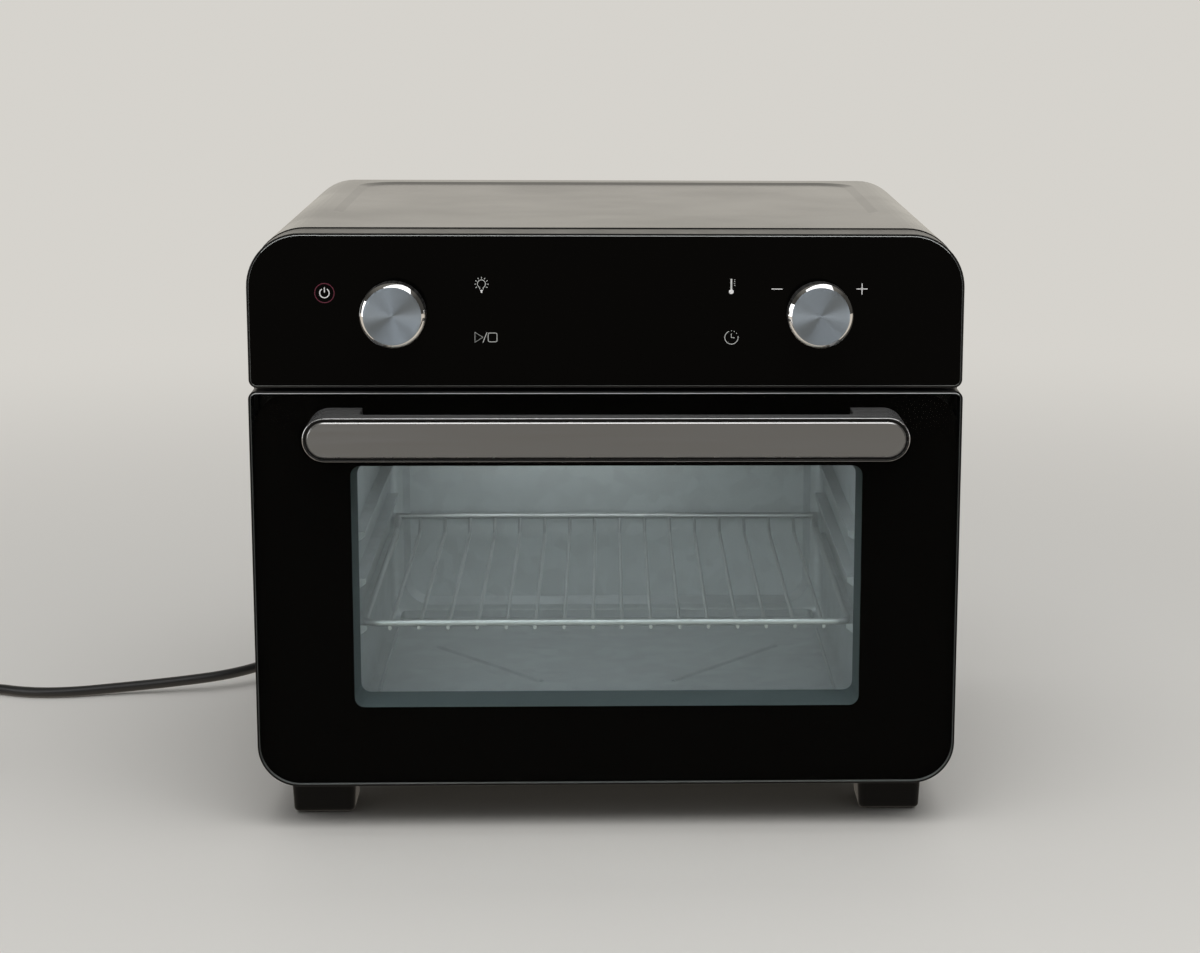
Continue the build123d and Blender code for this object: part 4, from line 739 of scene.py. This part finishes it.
def make_left_signs(ink, bright, red):
    """Power in its red ring, oven lamp, and start and stop"""
    make_sign(
        "power", power_key, 0.58, bright, line(*arc(0, 0, power_radius, 122, 418)), line((0, 0.3), (0, 3.4))
    )
    make_sign("power_ring", power_key, 0.5, red, loop(arc(0, 0, power_ring_radius, 0, 352.5, 47)))
    make_sign(
        "lamp", lamp_key, 0.36, ink, line(*arc(0, 0, bulb_radius, -62, 242)),
        line((-1.1, -2.1), (-1.0, -3.3)), line((1.1, -2.1), (1.0, -3.3)),
    )
    make_sign(
        "lamp_base", lamp_key, 0.8, bright, line((-0.7, -4.0), (0.7, -4.0)), line((-0.5, -4.9), (0.5, -4.9))
    )
    square = outline(stop_side, -stop_side / 2, stop_side / 2, stop_corner, 3)
    stop = [(x + stop_shift, z) for x, z in square]
    make_sign(
        "start_stop", start_stop_key, 0.36, ink, loop([(-6.6, 3.1), (-1.8, 0.1), (-6.6, -2.9)]),
        line((-1.9, -3.1), (0.6, 3.1)), loop(stop),
    )


def make_right_signs(ink, bright):
    """Thermometer, clock, minus and plus"""
    ticks = [line((1.6, z), (2.3, z)) for z in thermometer_ticks]
    make_sign("thermometer", thermometer_key, 0.32, ink, *ticks)
    make_sign("thermometer_tube", thermometer_key, 1.05, ink, line((0, -2.6), (0, 4.7)))
    make_sign("thermometer_bulb", thermometer_key, 1.45, bright, loop(arc(0, -3.0, 0.72, 0, 345, 23)))
    dashes = [line(*arc(0, 0, clock_radius, start, stop, 3)) for start, stop in clock_dashes]
    make_sign(
        "clock", clock_key, 0.38, ink, line(*arc(0, 0, clock_radius, 112, 372)), *dashes,
        line((-0.1, 2.4), (-0.1, 0.0), (1.9, -0.3)),
    )
    across = line((-cross_reach, 0), (cross_reach, 0))
    upright = line((0, -cross_reach), (0, cross_reach))
    make_sign("minus", minus_key, 0.54, bright, across)
    make_sign("plus", plus_key, 0.54, bright, across, upright)


def geometry_tree(name, **sizes):
    """New Geometry Nodes tree with a geometry input, named sizes and a material"""
    tree = bpy.data.node_groups.new(name, "GeometryNodeTree")
    sockets = tree.interface
    sockets.new_socket("Geometry", in_out="INPUT", socket_type="NodeSocketGeometry")
    for label, value in sizes.items():
        kind = "NodeSocketInt" if isinstance(value, int) else "NodeSocketFloat"
        socket = sockets.new_socket(label.replace("_", " "), in_out="INPUT", socket_type=kind)
        socket.default_value = value
    sockets.new_socket("Material", in_out="INPUT", socket_type="NodeSocketMaterial")
    sockets.new_socket("Geometry", in_out="OUTPUT", socket_type="NodeSocketGeometry")
    return tree, tree.nodes.new("NodeGroupInput"), tree.nodes.new("NodeGroupOutput")


def grown(name, tree, places, directions, material, **sizes):
    """Mesh that a tree grows at places, with an outward direction at each"""
    mesh = bpy.data.meshes.new(name)
    mesh.from_pydata(places, [], [])
    outward = mesh.attributes.new("outward", "FLOAT_VECTOR", "POINT")
    for item, direction in zip(outward.data, directions):
        item.vector = direction
    holder = bpy.data.objects.new(name, mesh)
    bpy.context.scene.collection.objects.link(holder)
    modifier = holder.modifiers.new(name, "NODES")
    modifier.node_group = tree
    for item in tree.interface.items_tree:
        if item.in_out != "INPUT":
            continue
        if item.name == "Material":
            modifier[item.identifier] = material
        elif item.name.replace(" ", "_") in sizes:
            modifier[item.identifier] = sizes[item.name.replace(" ", "_")]
    return baked(holder)


def sized_bar(tree, start, *sizes):
    """Bar whose sizes along X, Y and Z are inputs of the tree"""
    size = tree.nodes.new("ShaderNodeCombineXYZ")
    for axis, label in zip("XYZ", sizes):
        tree.links.new(start.outputs[label], size.inputs[axis])
    block = tree.nodes.new("GeometryNodeMeshCube")
    tree.links.new(size.outputs[0], block.inputs["Size"])
    return block.outputs["Mesh"]


def moved(tree, geometry, offset):
    """Geometry moved by a vector"""
    node = tree.nodes.new("GeometryNodeTransform")
    tree.links.new(geometry, node.inputs["Geometry"])
    tree.links.new(offset, node.inputs["Translation"])
    return node.outputs[0]


def turned_to(tree, direction, axis):
    """Rotation that turns an axis to a direction"""
    node = tree.nodes.new("FunctionNodeAlignRotationToVector")
    node.axis = axis
    tree.links.new(direction, node.inputs["Vector"])
    return node.outputs[0]


def copies(tree, points, piece):
    """Node that puts a piece at every point"""
    node = tree.nodes.new("GeometryNodeInstanceOnPoints")
    tree.links.new(points, node.inputs["Points"])
    tree.links.new(piece, node.inputs["Instance"])
    return node


def paint_copies(tree, placed, start, end):
    """Copies made real, with the tree's material, as what the tree gives"""
    realize = tree.nodes.new("GeometryNodeRealizeInstances")
    paint = tree.nodes.new("GeometryNodeSetMaterial")
    tree.links.new(placed.outputs[0], realize.inputs[0])
    tree.links.new(realize.outputs[0], paint.inputs["Geometry"])
    tree.links.new(start.outputs["Material"], paint.inputs["Material"])
    tree.links.new(paint.outputs[0], end.inputs[0])


def screw_tree():
    """Screw heads with a cross recess, one at each point, facing along outward"""
    tree, start, end = geometry_tree(
        "recessed_screws", Head_Radius=0.0045, Head_Height=0.003, Head_Sides=32, Recess_Length=0.0045,
        Recess_Width=0.0009, Cutter_Depth=0.0014,
    )
    new = tree.nodes.new
    join = tree.links.new
    head = new("GeometryNodeMeshCylinder")
    join(start.outputs["Head Sides"], head.inputs["Vertices"])
    join(start.outputs["Head Radius"], head.inputs["Radius"])
    join(start.outputs["Head Height"], head.inputs["Depth"])
    # Two crossed bars, centred on the head's outer face, cut half their depth into it
    cutters = new("GeometryNodeJoinGeometry")
    join(sized_bar(tree, start, "Recess Length", "Recess Width", "Cutter Depth"), cutters.inputs[0])
    join(sized_bar(tree, start, "Recess Width", "Recess Length", "Cutter Depth"), cutters.inputs[0])
    half = new("ShaderNodeMath")
    half.operation = "MULTIPLY"
    half.inputs[1].default_value = 0.5
    join(start.outputs["Head Height"], half.inputs[0])
    lift = new("ShaderNodeCombineXYZ")
    join(half.outputs[0], lift.inputs["Z"])
    cut = new("GeometryNodeMeshBoolean")
    cut.operation = "DIFFERENCE"
    cut.solver = "EXACT"
    cut.inputs["Self Intersection"].default_value = True
    join(head.outputs["Mesh"], cut.inputs["Mesh 1"])
    join(moved(tree, cutters.outputs[0], lift.outputs[0]), cut.inputs["Mesh 2"])
    # The outer face moves to the point, and the head at each point turns to its outward direction
    drop = new("ShaderNodeVectorMath")
    drop.operation = "SCALE"
    drop.inputs["Scale"].default_value = -1.0
    join(lift.outputs[0], drop.inputs[0])
    sunk = moved(tree, cut.outputs["Mesh"], drop.outputs[0])
    facing = new("GeometryNodeInputNamedAttribute")
    facing.data_type = "FLOAT_VECTOR"
    facing.inputs["Name"].default_value = "outward"
    heads = copies(tree, start.outputs["Geometry"], sunk)
    join(turned_to(tree, facing.outputs["Attribute"], "Z"), heads.inputs["Rotation"])
    paint_copies(tree, heads, start, end)
    return tree


def ray_tree():
    """Short flat rays round a centre, from the first to the last angle"""
    tree, start, end = geometry_tree(
        "lamp_rays", Ray_Count=9, Radius=0.0037, First_Angle=0.0, Last_Angle=3.14, Ray_Length=0.001,
        Ray_Width=0.0004, Ray_Thickness=0.00003,
    )
    join = tree.links.new
    # The rays stand on an arc, each pointing away from its middle
    path = tree.nodes.new("GeometryNodeCurveArc")
    sweep = worked_out(tree, "SUBTRACT", start.outputs["Last Angle"], start.outputs["First Angle"])
    join(start.outputs["Ray Count"], path.inputs["Resolution"])
    join(start.outputs["Radius"], path.inputs["Radius"])
    join(start.outputs["First Angle"], path.inputs["Start Angle"])
    join(sweep, path.inputs["Sweep Angle"])
    place = tree.nodes.new("GeometryNodeInputPosition")
    ray = sized_bar(tree, start, "Ray Length", "Ray Width", "Ray Thickness")
    rays = copies(tree, path.outputs["Curve"], ray)
    join(turned_to(tree, place.outputs[0], "X"), rays.inputs["Rotation"])
    # The arc is made lying down, so it is stood up at the point
    upright = copies(tree, start.outputs["Geometry"], rays.outputs[0])
    upright.inputs["Rotation"].default_value = (math.pi / 2, 0, 0)
    paint_copies(tree, upright, start, end)
    return tree


def make_lamp_rays(ink):
    """Nine rays round the lamp sign"""
    centre = (lamp_key[0] * MM, panel_front - sign_front * MM, lamp_key[1] * MM)
    mesh = grown(
        "lamp_rays", ray_tree(), [centre], [(0, -1, 0)], ink, Ray_Count=9, Radius=0.0037,
        First_Angle=math.radians(-33), Last_Angle=math.radians(213), Ray_Length=0.001, Ray_Width=0.00036,
        Ray_Thickness=0.00003,
    )
    link("sign_lamp_rays", mesh, "cabinet", "control_glass", ink)


def make_signs():
    """Signs of the touch keys, in grey, white and dark red ink"""
    ink = sign_ink("light_grey_ink", (0.66, 0.67, 0.65, 1.0), 0.16)
    bright = sign_ink("white_ink", (0.85, 0.84, 0.84, 1.0), 0.18)
    red = sign_ink("dark_red_ink", (0.15, 0.006, 0.032, 1.0))
    make_left_signs(ink, bright, red)
    make_right_signs(ink, bright)
    make_lamp_rays(ink)


def screw_places(node):
    """Middle of the outer end of each loose screw of a node, and whether it faces right (1) or left (-1)"""
    mesh_data = merged_copy(node)
    remaining = set(mesh_data.verts)
    places = []
    while remaining:
        island = set()
        reached = [remaining.pop()]
        while reached:
            vertex = reached.pop()
            island.add(vertex)
            for edge in vertex.link_edges:
                other = edge.other_vert(vertex)
                if other in remaining:
                    remaining.discard(other)
                    reached.append(other)
        lows = [min(v.co[k] for v in island) for k in range(3)]
        highs = [max(v.co[k] for v in island) for k in range(3)]
        middle = [(low + high) / 2 for low, high in zip(lows, highs)]
        side = 1 if highs[0] > 0 else -1
        middle[0] = highs[0] if side > 0 else lows[0]
        places.append((middle, side))
    mesh_data.free()
    return sorted(places)


def make_side_screws():
    """Cross-recessed screws in the wrap's sides"""
    sides = screw_places("wrap_screws")
    places = [place for place, _ in sides]
    ways = [(side, 0, 0) for _, side in sides]
    mesh = grown(
        "side_screws", screw_tree(), places, ways, finishes["dark_screw"], Head_Radius=0.0017,
        Head_Height=0.009, Head_Sides=32, Recess_Length=0.0021, Recess_Width=0.00045, Cutter_Depth=0.0014,
    )
    side_screws = link("side_screws", mesh, "cabinet", "dark_screw", finishes["dark_screw"])
    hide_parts("wrap_screws")


# Knob, lathed about its shaft: lengths in millimetres, angle in degrees. Each ease places the middle point of
# a rounded edge, as shares of the round along its two sides.
knob_round = 0.18
knob_outer_ease = (0.4, 0.1)
knob_inner_ease = (0.1, 0.3)
knob_chamfer = 2.2
knob_wall = 1.6
knob_dish = 0.4
knob_steps = 96
knob_face_steps = 10
knob_crisp_angle = 25.0

# Materials of a knob, by their number in its mesh
side_finish = 0
chamfer_finish = 1
face_finish = 2


def spun_face(name, centre):
    """Spun face: its turning lines run round the middle and pull the light into wedges"""
    material, tree, shader = new_material(name)
    settle(shader, Base_Color=(0.335, 0.395, 0.465, 1.0), Metallic=1.0, Anisotropic=0.93)
    around = tree.nodes.new("ShaderNodeTangent")
    around.direction_type = "UV_MAP"
    around.uv_map = "turning"
    tree.links.new(around.outputs[0], shader.inputs["Tangent"])
    rings = pattern(tree, "ShaderNodeTexWave", 420.0, centre=centre)
    rings.wave_type = "RINGS"
    rings.rings_direction = "Y"
    tree.links.new(ranged(tree, rings.outputs["Fac"], 0.36, 0.44), shader.inputs["Roughness"])
    return material


def knob_profile(box_low, box_high):
    """Radius, depth and finish along the knob's outline, from the back edge to the middle of the face"""
    radius = (box_high.x - box_low.x) / 2
    face = box_low.y
    back = box_high.y
    small = knob_round * MM
    slope = small * math.sqrt(0.5)
    edge = face + knob_chamfer * MM
    inner = radius - knob_chamfer * MM
    reach = inner - small
    points = [
        (radius - knob_wall * MM, back, side_finish), (radius - small, back, side_finish),
        (radius, back - small, side_finish), (radius, edge + small, side_finish),
        (radius - slope * knob_outer_ease[0], edge - small * knob_outer_ease[1], chamfer_finish),
        (radius - slope, edge - slope, chamfer_finish), (inner + slope, face + slope, chamfer_finish),
        (inner + small * knob_inner_ease[0], face + slope * knob_inner_ease[1], chamfer_finish),
        (reach, face, face_finish),
    ]
    for k in range(1, knob_face_steps + 1):
        here = reach * (1 - k / knob_face_steps)
        points.append((here, face + knob_dish * MM * (1 - (here / reach) ** 2), face_finish))
    return points


def make_knob(side):
    """Knob cap with rounded edges, a polished chamfer and a spun face"""
    node = "knob_cap_" + side
    low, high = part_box(node)
    middle = (low + high) / 2
    profile = knob_profile(low, high)
    mesh_data = bmesh.new()
    turning = mesh_data.loops.layers.uv.new("turning")
    rows = []
    for radius, y, _ in profile[:-1]:
        row = []
        for k in range(knob_steps):
            angle = 2 * math.pi * k / knob_steps
            place = (middle.x + radius * math.cos(angle), y, middle.z + radius * math.sin(angle))
            row.append(mesh_data.verts.new(place))
        rows.append(row)
    hub = mesh_data.verts.new((middle.x, profile[-1][1], middle.z))
    for i, (first, second) in enumerate(zip(rows, rows[1:])):
        for k in range(knob_steps):
            after = (k + 1) % knob_steps
            face = mesh_data.faces.new((first[k], first[after], second[after], second[k]))
            face.material_index = profile[i + 1][2]
            for corner, round_step, row_step in zip(face.loops, (k, k + 1, k + 1, k), (i, i, i + 1, i + 1)):
                corner[turning].uv = (row_step / len(profile), round_step / knob_steps)
    for k in range(knob_steps):
        after = (k + 1) % knob_steps
        face = mesh_data.faces.new((rows[-1][k], rows[-1][after], hub))
        face.material_index = face_finish
        for corner, round_step, row_share in zip(face.loops, (k, k + 1, k + 0.5), (0.9, 0.9, 1.0)):
            corner[turning].uv = (row_share, round_step / knob_steps)
    bmesh.ops.recalc_face_normals(mesh_data, faces=mesh_data.faces)
    mesh = plain_mesh("knob", mesh_data)
    polished = bright_plated("polished_chamfer_" + side, level=0.9, roughness=0.03)
    spun = spun_face("spun_face_" + side, tuple(middle))
    knob = link(
        "knob_" + side, mesh, side + "_knob", "knob_aluminium", finishes["knob_aluminium"], polished, spun
    )
    smooth(mesh, knob_crisp_angle)
    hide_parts(node)


# Stage: pale floor, studio lamps and a plain world
floor_radius = 6.0
floor_sides = 96
fade_start = 0.25
fade_end = 1.9
floor_colour = (0.74, 0.725, 0.69, 1.0)
backdrop_colour = (0.67, 0.65, 0.61, 1.0)
reflected_colour = (1.0, 0.95, 0.85, 1.0)
reflected_floor_colour = (0.62, 0.56, 0.48, 1.0)
horizon_light = 0.04
zenith_light = 0.95
front_reflection = 0.05
back_reflection = 0.72
ceiling_reflection = 0.16

# Where each part of the world's light starts and stops, along the direction's Y or Z
dome_span = (0.25, 1.0)
back_span = (0.25, 0.8)
ceiling_span = (0.4, 0.9)

# Lamps, in metres: place, the point that each looks at, width and height, and radiance
softboxes = {
    "overhead_softbox": ((0.2, -0.8, 1.5), (0.1, -0.45, 0.3), (1.5, 1.3), 1.8),
    "left_softbox": ((-1.35, -0.75, 0.47), (0, -0.5, 0.35), (1.3, 0.7), 2.5),
    "front_left_softbox": ((-0.66, -1.58, 1.17), (0, -0.17, 0.32), (0.6, 0.5), 3.2),
    "corner_softbox": ((-0.857, -1.012, 0.745), (-0.127, -0.16, 0.323), (0.5, 0.5), 1.4),
    "right_softbox": ((1.046, -0.93, 0.27), (0.127, -0.16, 0.323), (0.3, 0.4), 4.5),
    "cavity_fill": ((0, -0.125, 0.255), (0, 0.12, 0.1), (0.28, 0.02), 9.0),
    "cavity_glow": ((-0.035, 0.116, 0.192), (-0.035, 0.1585, 0.15), (0.17, 0.012), 5.5),
}
only_reflected = ("left_softbox", "front_left_softbox", "corner_softbox", "right_softbox")


def floor_finish():
    """Pale surface that fades into the backdrop far from the oven; reflections see one plain colour"""
    material, tree, shader = new_material("pale_floor")
    settle(shader, Base_Color=floor_colour, Roughness=0.7)
    place = tree.nodes.new("ShaderNodeTexCoord")
    length = tree.nodes.new("ShaderNodeVectorMath")
    length.operation = "LENGTH"
    tree.links.new(place.outputs["Object"], length.inputs[0])
    far = ranged(tree, length.outputs["Value"], 0.0, 1.0, fade_start, fade_end)
    far.node.interpolation_type = "SMOOTHSTEP"
    glow = tree.nodes.new("ShaderNodeEmission")
    glow.inputs["Color"].default_value = backdrop_colour
    in_metal = tree.nodes.new("ShaderNodeEmission")
    in_metal.inputs["Color"].default_value = reflected_floor_colour
    rays = tree.nodes.new("ShaderNodeLightPath")
    only_camera = worked_out(tree, "MULTIPLY", far, rays.outputs["Is Camera Ray"])
    faded = mixed(tree, only_camera, shader.outputs[0], glow.outputs[0])
    whole = mixed(tree, rays.outputs["Is Glossy Ray"], faded, in_metal.outputs[0])
    tree.links.new(whole, tree.nodes["Material Output"].inputs["Surface"])
    return material


def make_floor():
    """Round floor that catches the oven's shadow"""
    mesh_data = bmesh.new()
    bmesh.ops.create_circle(mesh_data, cap_ends=True, radius=floor_radius, segments=floor_sides)
    mesh = plain_mesh("floor", mesh_data)
    mesh.materials.append(floor_finish())
    floor = bpy.data.objects.new("floor", mesh)
    bpy.context.scene.collection.objects.link(floor)


def make_world():
    """Light from a soft dome; reflections see it bright behind and overhead, and dim in front"""
    world = bpy.data.worlds.new("studio")
    bpy.context.scene.world = world
    world.use_nodes = True
    tree = world.node_tree
    new = tree.nodes.new
    join = tree.links.new
    place = new("ShaderNodeTexCoord")
    axes = new("ShaderNodeSeparateXYZ")
    join(place.outputs["Generated"], axes.inputs[0])
    dome = tree.nodes["Background"]
    dome.inputs["Color"].default_value = (1.0, 1.0, 1.0, 1.0)
    join(ranged(tree, axes.outputs["Z"], horizon_light, zenith_light, *dome_span), dome.inputs["Strength"])
    seen = new("ShaderNodeBackground")
    seen.inputs["Color"].default_value = backdrop_colour
    mirrored = new("ShaderNodeBackground")
    mirrored.inputs["Color"].default_value = reflected_colour
    behind = ranged(tree, axes.outputs["Y"], front_reflection, back_reflection, *back_span)
    above = ranged(tree, axes.outputs["Z"], 0.0, ceiling_reflection, *ceiling_span)
    join(worked_out(tree, "MAXIMUM", behind, above), mirrored.inputs["Strength"])
    rays = new("ShaderNodeLightPath")
    unseen = mixed(tree, rays.outputs["Is Glossy Ray"], dome.outputs[0], mirrored.outputs[0])
    either = worked_out(tree, "MAXIMUM", rays.outputs["Is Camera Ray"], rays.outputs["Is Transmission Ray"])
    whole = mixed(tree, either, unseen, seen.outputs[0])
    join(whole, tree.nodes["World Output"].inputs["Surface"])


def make_softbox(name, place, aim, size, radiance):
    """Area lamp of a given radiance that looks at a point"""
    data = bpy.data.lights.new(name, "AREA")
    data.shape = "RECTANGLE"
    data.size, data.size_y = size
    data.energy = radiance * math.pi * size[0] * size[1]
    lamp = bpy.data.objects.new(name, data)
    lamp.location = place
    lamp.rotation_euler = (Vector(aim) - Vector(place)).to_track_quat("-Z", "Y").to_euler()
    lamp.visible_camera = False
    bpy.context.scene.collection.objects.link(lamp)
    return lamp


def make_lamps():
    """Softboxes overhead, left and right of the oven, and two small lamps in its cavity"""
    for name, (place, aim, size, radiance) in softboxes.items():
        lamp = make_softbox(name, place, aim, size, radiance)
        if name in only_reflected:
            lamp.visible_diffuse = False


make_camera()
dress_nodes()
dress_pane_edges()
dress_handle()
make_wrap()
make_lead()
make_window_print()
make_window_reveal()
make_signs()
make_side_screws()
for knob_side in ("left", "right"):
    make_knob(knob_side)
make_floor()
make_world()
make_lamps()
bpy.context.scene.view_settings.view_transform = "Standard"
